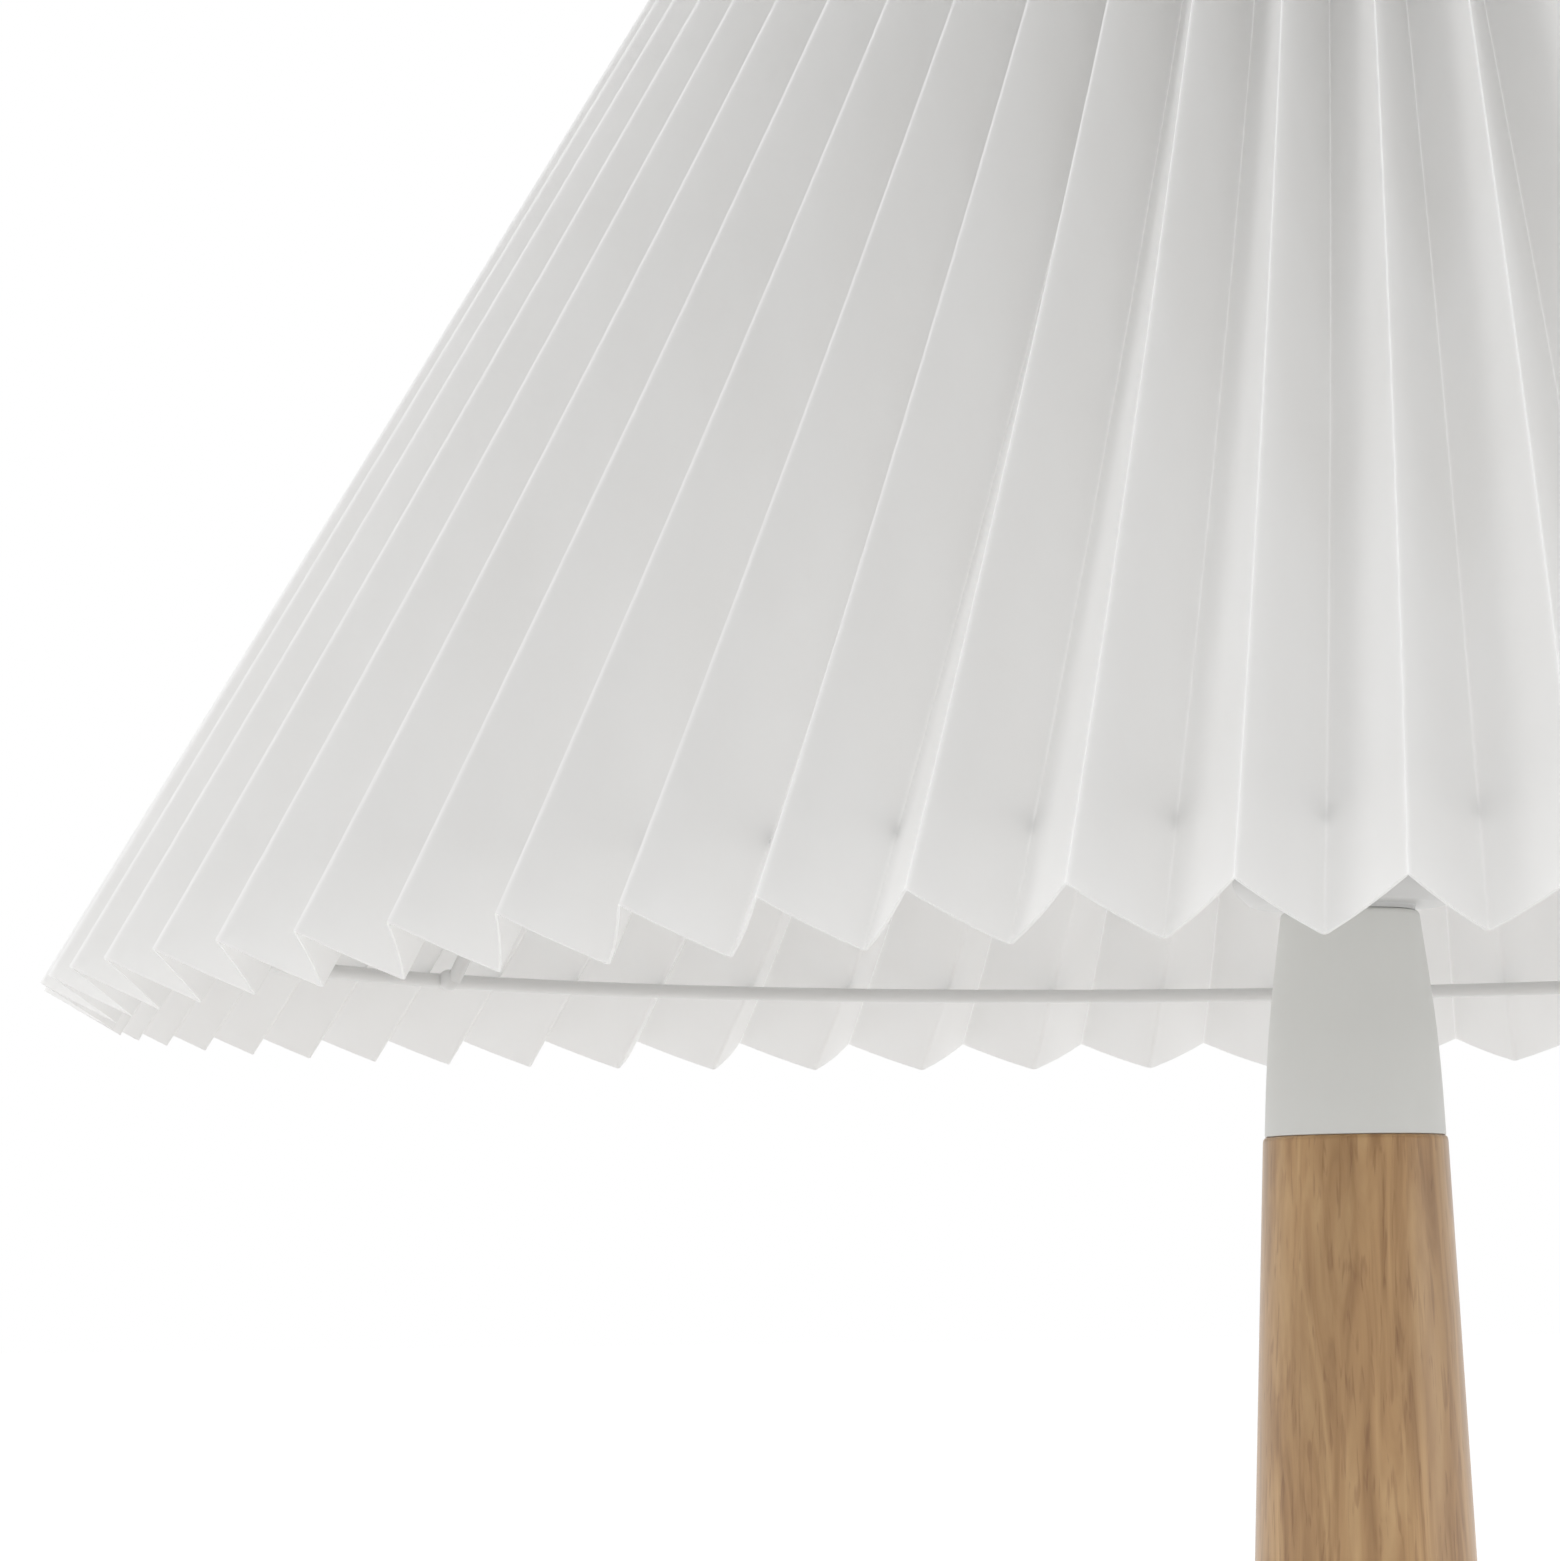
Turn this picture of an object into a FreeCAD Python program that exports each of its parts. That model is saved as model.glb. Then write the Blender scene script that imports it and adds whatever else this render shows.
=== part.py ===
import FreeCAD
import Part
import Sketcher
import math
import os

# A pleated table lamp: a turned wooden foot and stem, a white metal collar, a screw lampholder
# and a hand-pleated shade on a wire carrier.  Millimetres, +Z up, with the origin at the centre
# of the felt's underside.  Every driving size is a cell of the spreadsheet "Sizes".
DRIVING_SIZES = {
    # foot
    "felt_thickness": 2.0, "felt_radius": 84.0,
    "base_height": 22.0, "base_radius": 92.0, "base_top_round": 8.0, "base_foot_chamfer": 1.5,
    "recess_radius": 62.0, "recess_depth": 13.0,
    "ballast_thickness": 9.0, "ballast_hole_radius": 22.0, "ballast_clearance": 0.5,
    "ballast_screw_count": 3, "ballast_screw_circle": 42.0, "screw_radius": 2.0,
    "screw_head_radius": 4.0, "screw_head_height": 2.4, "screw_length": 14.0,
    "screw_clearance": 0.1,
    # stem and collar
    "stem_length": 278.0, "stem_foot_radius": 27.5, "stem_top_radius": 15.9,
    "stem_chamfer": 0.6, "spigot_length": 33.0, "spigot_clearance": 0.25,
    "collar_height": 38.8, "collar_foot_radius": 15.6, "collar_top_radius": 11.9,
    "collar_wall": 1.6, "collar_lid": 2.6, "collar_rim_chamfer": 0.8,
    "collar_waist_drop": 15.0, "collar_waist_radius": 13.9,
    "collar_full_drop": 26.0, "collar_full_radius": 15.0,
    # threaded rod
    "rod_radius": 5.0, "rod_bore_radius": 3.5, "rod_clearance": 0.4, "thread_clearance": 0.05,
    "rod_tail": 2.0, "rod_in_holder": 9.0,
    "nut_across_flats": 17.0, "nut_height": 5.0, "washer_radius": 12.0, "washer_thickness": 1.5,
    # cord inlet
    "inlet_height": 7.5, "inlet_bore_radius": 3.1, "bush_radius": 4.3, "bush_length": 16.0,
    "bush_flange_radius": 5.4, "bush_flange_thickness": 1.6, "bush_clearance": 0.1,
    # lampholder
    "holder_gap": 1.0, "holder_washer_radius": 8.0,
    "cap_radius": 20.2, "cap_height": 22.0, "cap_wall": 2.0, "cap_floor": 3.0,
    "cap_chamfer": 3.0, "cap_boss_radius": 8.6, "cap_boss_height": 10.0,
    "shell_radius": 19.4, "shell_wall": 2.0, "shell_height": 33.0, "shell_spigot": 4.0,
    "shell_fit": 0.1, "shell_mouth_radius": 15.2, "shell_lip": 2.0,
    "insulator_radius": 17.2, "insulator_height": 12.0,
    "sleeve_wall": 0.5, "sleeve_height": 26.0,
    "tongue_width": 5.0, "tongue_thickness": 0.6, "tongue_length": 9.0, "tongue_rise": 3.0,
    "terminal_radius": 1.0, "terminal_head_radius": 1.4, "terminal_head_height": 1.2,
    "terminal_length": 6.0, "terminal_count": 2,
    # rings that clamp the shade carrier
    "clamp_ring_radius": 28.5, "clamp_ring_height": 8.0, "clamp_flange": 2.4,
    "clamp_sleeve_wall": 3.0, "clamp_thread_clearance": 0.1, "seat_ring_height": 2.0,
    "running_gap": 0.3,
    # wire carrier
    "wire_radius": 1.4, "wire_flats": 8, "fitter_hole_radius": 21.0, "fitter_radius": 31.0,
    "fitter_thickness": 2.2, "arm_flat": 8.0, "arm_bend_radius": 20.0,
    "strut_count": 3, "first_strut": 151.4,
    "lower_ring_height": 8.7, "lower_ring_inset": 2.6, "top_ring_drop": 12.0, "weld_gap": 0.05,
    # pleated shade
    "collar_above_rim": 11.3, "rim_radius": 225.0, "shade_top_radius": 80.0,
    "shade_height": 236.5, "pleat_count": 58, "panel_width": 17.5, "paper_thickness": 0.45,
    "first_ridge": -88.0, "notch_clearance": 0.3, "top_ring_inset": 1.25,
    # bulb
    "bulb_cap_radius": 13.2, "bulb_cap_height": 25.0, "bulb_fit": 0.3, "bulb_neck_depth": 8.0,
    "bulb_shoulder_angle": 35.0,
    "bulb_radius": 30.0, "bulb_length": 105.0, "bulb_neck_radius": 12.6,
    "bulb_neck_height": 38.0, "bulb_insulator_radius": 9.0, "bulb_insulator_height": 3.0,
    "bulb_contact_radius": 4.5, "bulb_contact_height": 1.6,
}

doc = FreeCAD.newDocument("pleated_table_lamp")
sizes = doc.addObject("Spreadsheet::Sheet", "Sizes")
for row, (alias, number) in enumerate(DRIVING_SIZES.items(), start=1):
    sizes.set(f"A{row}", alias)
    sizes.set(f"B{row}", str(number))
    sizes.setAlias(f"B{row}", alias)
doc.recompute()


class Cells(dict):
    """Turns {alias} in a template into Sizes.alias, so that expressions stay short to read."""

    def __missing__(self, alias):
        return f"Sizes.{alias}"


def of(template):
    return "(" + template.format_map(Cells()) + ")"


def value(template):
    """The number that an expression of the sheet's aliases has now."""
    result = sizes.evalExpression(of(template))
    return float(getattr(result, "Value", result))


# Heights that several pieces share, as expressions of the driving sizes.
RECESS_ROOF = of("{felt_thickness} + {recess_depth}")
STEM_FOOT = of("{felt_thickness} + {base_height}")
COLLAR_FOOT = of(STEM_FOOT + " + {stem_length}")
COLLAR_TOP = of(COLLAR_FOOT + " + {collar_height}")
HOLDER_FOOT = of(COLLAR_TOP + " + {holder_gap}")
INSULATOR_FOOT = of(HOLDER_FOOT + " + {cap_boss_height}")
CAP_TOP = of(HOLDER_FOOT + " + {cap_height}")
SEAT_RING_FOOT = of(CAP_TOP + " + {seat_ring_height}")
FITTER_FOOT = of(SEAT_RING_FOOT + " + {clamp_ring_height} + {running_gap}")
CLAMP_FOOT = of(FITTER_FOOT + " + {fitter_thickness} + {running_gap}")
BULB_FOOT = of(CAP_TOP + " + {tongue_rise} + {running_gap}")
RIM = of(COLLAR_TOP + " - {collar_above_rim}")


# ---------------------------------------------------------------- sketching helpers

def body(name, height="0", turn=None):
    """An empty body with its own label, standing at a height and turned about the Z axis."""
    piece = doc.addObject("PartDesign::Body", name)
    piece.Label = name
    piece.setExpression("Placement.Base.z", of(height))
    if turn:
        piece.Placement.Rotation = FreeCAD.Rotation(FreeCAD.Vector(0, 0, 1), 1)
        piece.setExpression("Placement.Rotation.Angle", of(turn))
    return piece


def plane_of(piece, role):
    return next(item for item in piece.Origin.OriginFeatures if item.Role == role)


def arc_to(start, end, radius):
    """The arc from start to end.  It bulges to the left of its way when radius is positive."""
    chord = end - start
    across = FreeCAD.Vector(-chord.y, chord.x, 0).normalize()
    reach = math.sqrt(max(radius ** 2 - chord.Length ** 2 / 4, 0.0))
    crown = (start + end) * 0.5 + across * math.copysign(abs(radius) - reach, radius)
    return Part.Arc(start, crown, end)


def hold(drawing, edge, end, corner):
    """Holds one end of a sketch edge at its corner's two expressions."""
    for kind, axis, expression in (("DistanceX", -2, corner[0]), ("DistanceY", -1, corner[1])):
        number = value(expression)
        if abs(number) < 1e-9:
            drawing.addConstraint(Sketcher.Constraint("PointOnObject", edge, end, axis))
        elif number > 0:
            rule = Sketcher.Constraint(kind, -1, 1, edge, end, number)
            drawing.setExpression(f"Constraints[{drawing.addConstraint(rule)}]", of(expression))
        else:
            rule = Sketcher.Constraint(kind, edge, end, -1, 1, -number)
            drawing.setExpression(f"Constraints[{drawing.addConstraint(rule)}]",
                                  of(f"-1 * {of(expression)}"))


def outline(piece, role, name, corners, closed=True):
    """A sketch held all round by expressions.  A corner is (x, y), or (x, y, radius) where an
    arc arrives at it."""
    drawing = piece.newObject("Sketcher::SketchObject", name)
    drawing.AttachmentSupport = [(plane_of(piece, role), "")]
    drawing.MapMode = "FlatFace"
    points = [FreeCAD.Vector(value(corner[0]), value(corner[1]), 0) for corner in corners]
    ends = []
    for first in range(len(corners) if closed else len(corners) - 1):
        last = (first + 1) % len(corners)
        if len(corners[last]) == 3:
            bend = corners[last][2]
            index = drawing.addGeometry(arc_to(points[first], points[last], value(bend)), False)
            rule = Sketcher.Constraint("Radius", index, abs(value(bend)))
            sign = "" if value(bend) > 0 else "-1 * "
            drawing.setExpression(f"Constraints[{drawing.addConstraint(rule)}]",
                                  of(sign + of(bend)))
        else:
            index = drawing.addGeometry(Part.LineSegment(points[first], points[last]), False)
        begins = drawing.getPoint(index, 1).distanceToPoint(points[first]) < 1e-5
        ends.append((index, 1 if begins else 2, 2 if begins else 1))
        hold(drawing, index, ends[-1][1], corners[first])
    if not closed:
        hold(drawing, ends[-1][0], ends[-1][2], corners[-1])
    for place, (index, _, last) in enumerate(ends):
        if closed or place + 1 < len(ends):
            follower, first, _ = ends[(place + 1) % len(ends)]
            drawing.addConstraint(Sketcher.Constraint("Coincident", index, last, follower, first))
    return drawing


def turned(name, corners, height="0", cut=False, piece=None):
    """A piece turned on the lathe: its half section, spun about the body's own Z axis."""
    piece = piece or body(name, height)
    section = outline(piece, "XZ_Plane", f"{name}_section", corners)
    feature = piece.newObject("PartDesign::Groove" if cut else "PartDesign::Revolution",
                              f"{name}_{'groove' if cut else 'turning'}")
    feature.Profile = section
    feature.ReferenceAxis = (plane_of(piece, "Z_Axis"), [""])
    feature.Angle = 360.0
    return piece


def ring_section(inner, outer, foot, top):
    return [(inner, foot), (outer, foot), (outer, top), (inner, top)]


def bored(piece, name, role, centre, radius, depth, reverse=False, start="0"):
    """A round hole cut square to one of the body's planes."""
    drawing = piece.newObject("Sketcher::SketchObject", f"{name}_circle")
    drawing.AttachmentSupport = [(plane_of(piece, role), "")]
    drawing.MapMode = "FlatFace"
    drawing.setExpression("AttachmentOffset.Base.z", of(start))
    middle = FreeCAD.Vector(value(centre[0]), value(centre[1]), 0)
    index = drawing.addGeometry(Part.Circle(middle, FreeCAD.Vector(0, 0, 1), value(radius)), False)
    rule = drawing.addConstraint(Sketcher.Constraint("Radius", index, value(radius)))
    drawing.setExpression(f"Constraints[{rule}]", of(radius))
    hold(drawing, index, 3, centre)
    hole = piece.newObject("PartDesign::Pocket", name)
    hole.Profile = drawing
    hole.setExpression("Length", of(depth))
    hole.Reversed = reverse
    return hole


def around(piece, feature, name, count):
    """Repeats a feature about the body's Z axis."""
    pattern = piece.newObject("PartDesign::PolarPattern", name)
    pattern.Originals = [feature]
    pattern.Axis = (plane_of(piece, "Z_Axis"), [""])
    pattern.Angle = 360.0
    pattern.setExpression("Occurrences", of(count))
    piece.Tip = pattern
    return pattern


def set_of(name, pattern_piece, count, turn_step):
    """One node for identical fasteners: copies of a turned piece, set round the Z axis."""
    doc.recompute()
    group = doc.addObject("Part::Feature", name)
    group.Label = name
    copies = []
    for place in range(int(value(count))):
        copy = pattern_piece.Shape.copy()
        copy.rotate(FreeCAD.Vector(), FreeCAD.Vector(0, 0, 1), place * value(turn_step))
        copies.append(copy)
    group.Shape = Part.makeCompound(copies)
    return group


def wire_piece(name, corners, height, turn):
    """A bent wire: its bends drawn in the XZ plane of a turned body, with a round section."""
    piece = body(name, height, turn)
    path = outline(piece, "XZ_Plane", f"{name}_path", corners, closed=False)
    doc.recompute()
    section = piece.newObject("Sketcher::SketchObject", f"{name}_section")
    section.AttachmentSupport = [(path, "Vertex1"), (path, "Edge1")]
    section.MapMode = "NormalToEdge"
    section.MapPathParameter = 0.0
    circle = Part.Circle(FreeCAD.Vector(), FreeCAD.Vector(0, 0, 1), value("{wire_radius}"))
    index = section.addGeometry(circle, False)
    section.addConstraint(Sketcher.Constraint("Coincident", index, 3, -1, 1))
    rule = section.addConstraint(Sketcher.Constraint("Radius", index, value("{wire_radius}")))
    section.setExpression(f"Constraints[{rule}]", of("{wire_radius}"))
    wire = piece.newObject("PartDesign::AdditivePipe", f"{name}_wire")
    wire.Profile = section
    wire.Spine = path
    return piece


# ---------------------------------------------------------------- foot

def make_felt_pad():
    turned("felt_pad", ring_section("0", "{felt_radius}", "0", "{felt_thickness}"))


def make_base_disc():
    """The turned wooden foot: rounded above, hollow below for the ballast, bored for the rod
    and, at the back, for the cord."""
    piece = turned("base_disc", [
        ("{rod_radius} + {rod_clearance}", "{recess_depth}"),
        ("{recess_radius}", "{recess_depth}"),
        ("{recess_radius}", "0"),
        ("{base_radius} - {base_foot_chamfer}", "0"),
        ("{base_radius}", "{base_foot_chamfer}"),
        ("{base_radius}", "{base_height} - {base_top_round}"),
        ("{base_radius} - {base_top_round}", "{base_height}", "-1 * {base_top_round}"),
        ("{rod_radius} + {rod_clearance}", "{base_height}"),
    ], "{felt_thickness}")
    bored(piece, "cord_channel", "XZ_Plane", ("0", "{inlet_height}"),
          "{bush_radius} + {bush_clearance}", "{base_radius}")
    screw = bored(piece, "screw_pilot", "XY_Plane", ("{ballast_screw_circle}", "0"),
                  "{screw_radius} + {screw_clearance}",
                  "{screw_length} + {screw_clearance} - {ballast_thickness}",
                  reverse=True, start="{recess_depth}")
    around(piece, screw, "screw_pilots", "{ballast_screw_count}")


def make_ballast_plate():
    """The steel disc that keeps the lamp on its foot, countersunk for its screws."""
    piece = turned("ballast_plate", ring_section(
        "{ballast_hole_radius}", "{recess_radius} - {ballast_clearance}",
        "0", "{ballast_thickness}"), RECESS_ROOF + " - {ballast_thickness}")
    sink = piece.newObject("PartDesign::SubtractiveCone", "countersink")
    sink.setExpression("Radius1", of("{screw_head_radius} + {screw_clearance}"))
    sink.setExpression("Radius2", of("{screw_radius} + {screw_clearance}"))
    sink.setExpression("Height", of("{screw_head_height}"))
    sink.setExpression("Placement.Base.x", of("{ballast_screw_circle}"))
    doc.recompute()
    around(piece, sink, "countersinks", "{ballast_screw_count}")
    hole = bored(piece, "screw_way", "XY_Plane", ("{ballast_screw_circle}", "0"),
                 "{screw_radius} + {screw_clearance}", "{ballast_thickness}", reverse=True)
    around(piece, hole, "screw_ways", "{ballast_screw_count}")
    slot = piece.newObject("PartDesign::Pocket", "cord_slot")
    slot.Profile = outline(piece, "XY_Plane", "cord_slot_outline", [
        ("-1 * ({bush_radius} + {bush_clearance})", "{ballast_hole_radius} - {bush_radius}"),
        ("{bush_radius} + {bush_clearance}", "{ballast_hole_radius} - {bush_radius}"),
        ("{bush_radius} + {bush_clearance}", "{recess_radius}"),
        ("-1 * ({bush_radius} + {bush_clearance})", "{recess_radius}"),
    ])
    slot.Reversed = True
    slot.setExpression("Length", of("{ballast_thickness}"))


def make_ballast_screws():
    screw = turned("ballast_screw", [
        ("0", "0"), ("{screw_head_radius}", "0"), ("{screw_radius}", "{screw_head_height}"),
        ("{screw_radius}", "{screw_length}"), ("0", "{screw_length}"),
    ], RECESS_ROOF + " - {ballast_thickness}")
    screw.setExpression("Placement.Base.x", of("{ballast_screw_circle}"))
    set_of("ballast_screws", screw, "{ballast_screw_count}", "360 / {ballast_screw_count}")


def make_cord_bush():
    """The flanged bush that lines the cord's way through the side of the foot."""
    piece = turned("cord_bush", [
        ("{inlet_bore_radius}", "0"), ("{bush_radius}", "0"),
        ("{bush_radius}", "{bush_length}"), ("{bush_flange_radius}", "{bush_length}"),
        ("{bush_flange_radius}", "{bush_length} + {bush_flange_thickness}"),
        ("{inlet_bore_radius}", "{bush_length} + {bush_flange_thickness}"),
    ], "{felt_thickness} + {inlet_height}")
    piece.Placement.Rotation = FreeCAD.Rotation(FreeCAD.Vector(1, 0, 0), -90)
    piece.setExpression("Placement.Base.y", of("{base_radius} - {bush_length}"))


# ---------------------------------------------------------------- stem, collar and rod

def make_stem():
    """The tapered wooden stem, bored through, with a slimmer spigot that enters the collar."""
    spigot_foot = "{collar_foot_radius} - {collar_wall} - {spigot_clearance}"
    spigot_top = "{collar_top_radius} - {collar_wall} - {spigot_clearance}"
    bore = "{rod_radius} + {rod_clearance}"
    turned("stem", [
        (bore, "0"), ("{stem_foot_radius}", "0"),
        ("{stem_top_radius}", "{stem_length} - {stem_chamfer}"),
        ("{stem_top_radius} - {stem_chamfer}", "{stem_length}"),
        (spigot_foot, "{stem_length}"), (spigot_top, "{stem_length} + {spigot_length}"),
        (bore, "{stem_length} + {spigot_length}"),
    ], STEM_FOOT)


def make_collar():
    """The spun metal collar: a taper that steepens towards the foot in three stages, with a
    flat lid for the rod."""
    full_height = "{collar_height} - {collar_full_drop}"
    waist_height = "{collar_height} - {collar_waist_drop}"
    turned("collar", [
        ("{collar_foot_radius} - {collar_wall}", "0"), ("{collar_foot_radius}", "0"),
        ("{collar_full_radius}", full_height), ("{collar_waist_radius}", waist_height),
        ("{collar_top_radius}", "{collar_height} - {collar_rim_chamfer}"),
        ("{collar_top_radius} - {collar_rim_chamfer}", "{collar_height}"),
        ("{rod_radius} + {rod_clearance}", "{collar_height}"),
        ("{rod_radius} + {rod_clearance}", "{collar_height} - {collar_lid}"),
        ("{collar_top_radius} - {collar_wall}", "{collar_height} - {collar_lid}"),
    ], COLLAR_FOOT)


def make_threaded_rod():
    """The hollow rod that ties foot, stem, collar and lampholder together and carries the
    wires."""
    nut_foot = RECESS_ROOF + " - {washer_thickness} - {nut_height}"
    length = HOLDER_FOOT + " + {rod_in_holder} - (" + nut_foot + ") + {rod_tail}"
    turned("threaded_rod", ring_section("{rod_bore_radius}", "{rod_radius}", "0", length),
           nut_foot + " - {rod_tail}")
    turned("rod_washer", ring_section("{rod_radius} + {rod_clearance}", "{washer_radius}", "0",
                                      "{washer_thickness}"),
           RECESS_ROOF + " - {washer_thickness}")
    nut = body("rod_nut", nut_foot)
    flats = nut.newObject("PartDesign::AdditivePrism", "nut_flats")
    flats.Polygon = 6
    flats.setExpression("Circumradius", of("{nut_across_flats} / 2 / cos(30)"))
    flats.setExpression("Height", of("{nut_height}"))
    doc.recompute()
    bored(nut, "nut_bore", "XY_Plane", ("0", "0"), "{rod_radius} + {thread_clearance}",
          "{nut_height}", reverse=True)


# ---------------------------------------------------------------- lampholder

def make_holder_washer():
    turned("holder_washer", ring_section("{rod_radius} + {rod_clearance}",
                                         "{holder_washer_radius}", "0", "{holder_gap}"),
           COLLAR_TOP)


def make_lampholder_cap():
    """The cup under the lampholder: its boss screws on the rod and carries the insulator."""
    bore = "{rod_radius} + {thread_clearance}"
    inside = "{cap_radius} - {cap_wall}"
    turned("lampholder_cap", [
        (bore, "0"), ("{cap_radius} - {cap_chamfer}", "0"),
        ("{cap_radius}", "{cap_chamfer}"),
        ("{cap_radius}", "{cap_height}"), (inside, "{cap_height}"),
        (inside, "{cap_floor} + {cap_chamfer}"),
        (inside + " - {cap_chamfer}", "{cap_floor}"),
        ("{cap_boss_radius}", "{cap_floor}"), ("{cap_boss_radius}", "{cap_boss_height}"),
        (bore, "{cap_boss_height}"),
    ], HOLDER_FOOT)


def make_lampholder_shell():
    """The threaded skirt: its spigot sits in the cap, and its lip guards the bulb's mouth."""
    spigot = "{cap_radius} - {cap_wall} - {shell_fit}"
    inside = "{shell_radius} - {shell_wall}"
    turned("lampholder_shell", [
        (inside, "-1 * {shell_spigot}"), (spigot, "-1 * {shell_spigot}"), (spigot, "0"),
        ("{shell_radius}", "0"), ("{shell_radius}", "{shell_height}"),
        ("{shell_mouth_radius}", "{shell_height}"),
        ("{shell_mouth_radius}", "{shell_height} - {shell_lip}"),
        (inside, "{shell_height} - {shell_lip}"),
    ], CAP_TOP)


def make_insulator():
    """The ceramic disc under the bulb, with blind holes for the two terminal screws."""
    piece = turned("lampholder_insulator", ring_section(
        "0", "{insulator_radius}", "0", "{insulator_height}"), INSULATOR_FOOT)
    seat = "{insulator_radius} - {terminal_head_radius}"
    hole = bored(piece, "terminal_hole", "XY_Plane", (seat, "0"),
                 "{terminal_radius} + {screw_clearance}",
                 "{terminal_length} + {screw_clearance}", start="{insulator_height}")
    around(piece, hole, "terminal_holes", "{terminal_count}")
    screw = turned("terminal_screw", [
        ("0", "-1 * {terminal_length}"), ("{terminal_radius}", "-1 * {terminal_length}"),
        ("{terminal_radius}", "0"), ("{terminal_head_radius}", "0"),
        ("{terminal_head_radius}", "{terminal_head_height}"), ("0", "{terminal_head_height}"),
    ], INSULATOR_FOOT + " + {insulator_height}")
    screw.setExpression("Placement.Base.x", of(seat))
    set_of("terminal_screws", screw, "{terminal_count}", "360 / {terminal_count}")


def make_contacts():
    """The brass sleeve that takes the bulb's cap, and the sprung tongue under its tip."""
    inside = "{bulb_cap_radius} + {bulb_fit}"
    turned("screw_sleeve", ring_section(inside, f"{inside} + {{sleeve_wall}}", "0",
                                        "{sleeve_height}"), CAP_TOP)
    tongue = body("centre_contact", CAP_TOP)
    section = outline(tongue, "XZ_Plane", "tongue_section", [
        ("-1 * {tongue_length}", "0"), ("0", "0"),
        ("0", "{tongue_thickness}"),
        ("-0.5 * {tongue_length}", "{tongue_thickness}"),
        ("0.5 * {tongue_width}", "{tongue_rise}"),
        ("-0.5 * {tongue_width}", "{tongue_rise}"),
        ("-1 * {tongue_length}", "{tongue_thickness}"),
    ])
    pad = tongue.newObject("PartDesign::Pad", "tongue_strip")
    pad.Profile = section
    pad.SideType = "Symmetric"
    pad.setExpression("Length", of("{tongue_width}"))


# ---------------------------------------------------------------- clamp rings and wire carrier

def make_clamp_rings():
    """Two threaded rings on the lampholder's skirt: the shade carrier is held between their
    flanges."""
    inside = "{shell_radius} + {clamp_thread_clearance}"
    sleeve = inside + " + {clamp_sleeve_wall}"
    turned("seat_ring", [
        (inside, "0"), (sleeve, "0"), (sleeve, "{clamp_ring_height} - {clamp_flange}"),
        ("{clamp_ring_radius}", "{clamp_ring_height} - {clamp_flange}"),
        ("{clamp_ring_radius}", "{clamp_ring_height}"), (inside, "{clamp_ring_height}"),
    ], SEAT_RING_FOOT)
    turned("retaining_ring", [
        (inside, "0"), ("{clamp_ring_radius}", "0"), ("{clamp_ring_radius}", "{clamp_flange}"),
        (sleeve, "{clamp_flange}"), (sleeve, "{clamp_ring_height}"),
        (inside, "{clamp_ring_height}"),
    ], CLAMP_FOOT)


def make_fitter_ring():
    turned("fitter_ring", ring_section("{fitter_hole_radius}", "{fitter_radius}", "0",
                                       "{fitter_thickness}"), FITTER_FOOT)


# Where the valley folds run: the paper's ends are cut square to its folds, so each valley end
# follows from the ridge end, the panel's width and the slope of the shade.
SLOPE = of("({rim_radius} - {shade_top_radius}) / {shade_height}")
HALF_PITCH = of("180 / {pleat_count}")


def valley_end(ridge_radius):
    """Radius of a valley end, and its height over the ridge end, as expressions."""
    stretch = f"(1 + {SLOPE} * {SLOPE})"
    across, along = f"sin({HALF_PITCH})", f"cos({HALF_PITCH})"
    square = f"({along} * {along} * {stretch} + {across} * {across})"
    linear = of(f"{ridge_radius} * cos({HALF_PITCH}) * {stretch}")
    rest = of(f"{ridge_radius} * {ridge_radius} * {stretch} - {{panel_width}} * {{panel_width}}")
    radius = f"(({linear} - sqrt({linear} * {linear} - {square} * {rest})) / {square})"
    return radius, of(f"{SLOPE} * ({radius} * cos({HALF_PITCH}) - {ridge_radius})")


FOOT_VALLEY_RADIUS, FOOT_VALLEY_RISE = valley_end("{rim_radius}")
TOP_VALLEY_RADIUS, TOP_VALLEY_RISE = valley_end("{shade_top_radius}")
TOP_VALLEY_HEIGHT = of("{shade_height} + " + TOP_VALLEY_RISE)
VALLEY_TAPER = (f"(({FOOT_VALLEY_RADIUS} - {TOP_VALLEY_RADIUS})"
                f" / ({TOP_VALLEY_HEIGHT} - {FOOT_VALLEY_RISE}))")


def ring_radius(height, inset):
    """Radius of a carrier ring that lies that far inside the valley folds at a height."""
    return of(f"{FOOT_VALLEY_RADIUS} - {VALLEY_TAPER} * ({height} - {FOOT_VALLEY_RISE})"
              f" - {inset}")


TOP_RING_HEIGHT = of(TOP_VALLEY_HEIGHT + " - {top_ring_drop}")
LOWER_RING_RADIUS = ring_radius("{lower_ring_height}", "{lower_ring_inset}")
TOP_RING_RADIUS = ring_radius(TOP_RING_HEIGHT, "{top_ring_inset}")
STRUT_INSET = of(f"(2 * {{wire_radius}} + {{weld_gap}}) * sqrt(1 + {VALLEY_TAPER} ^ 2)")


def make_carrier_rings():
    """The two wire rings.  Eight flats stand for the round of their wire."""
    turn = of("180 / {wire_flats}")
    for name, radius, height in (("lower_ring", LOWER_RING_RADIUS, "{lower_ring_height}"),
                                 ("top_ring", TOP_RING_RADIUS, TOP_RING_HEIGHT)):
        corners = []
        for flat in range(int(value("{wire_flats}"))):
            angle = f"({turn} * {2 * flat + 1})"
            corners.append((f"{radius} + {{wire_radius}} * cos({angle})",
                            f"2 * {{wire_radius}} + {{wire_radius}} * sin({angle})"))
        turned(name, corners, f"{RIM} + {height} - 2 * {{wire_radius}}")


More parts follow.
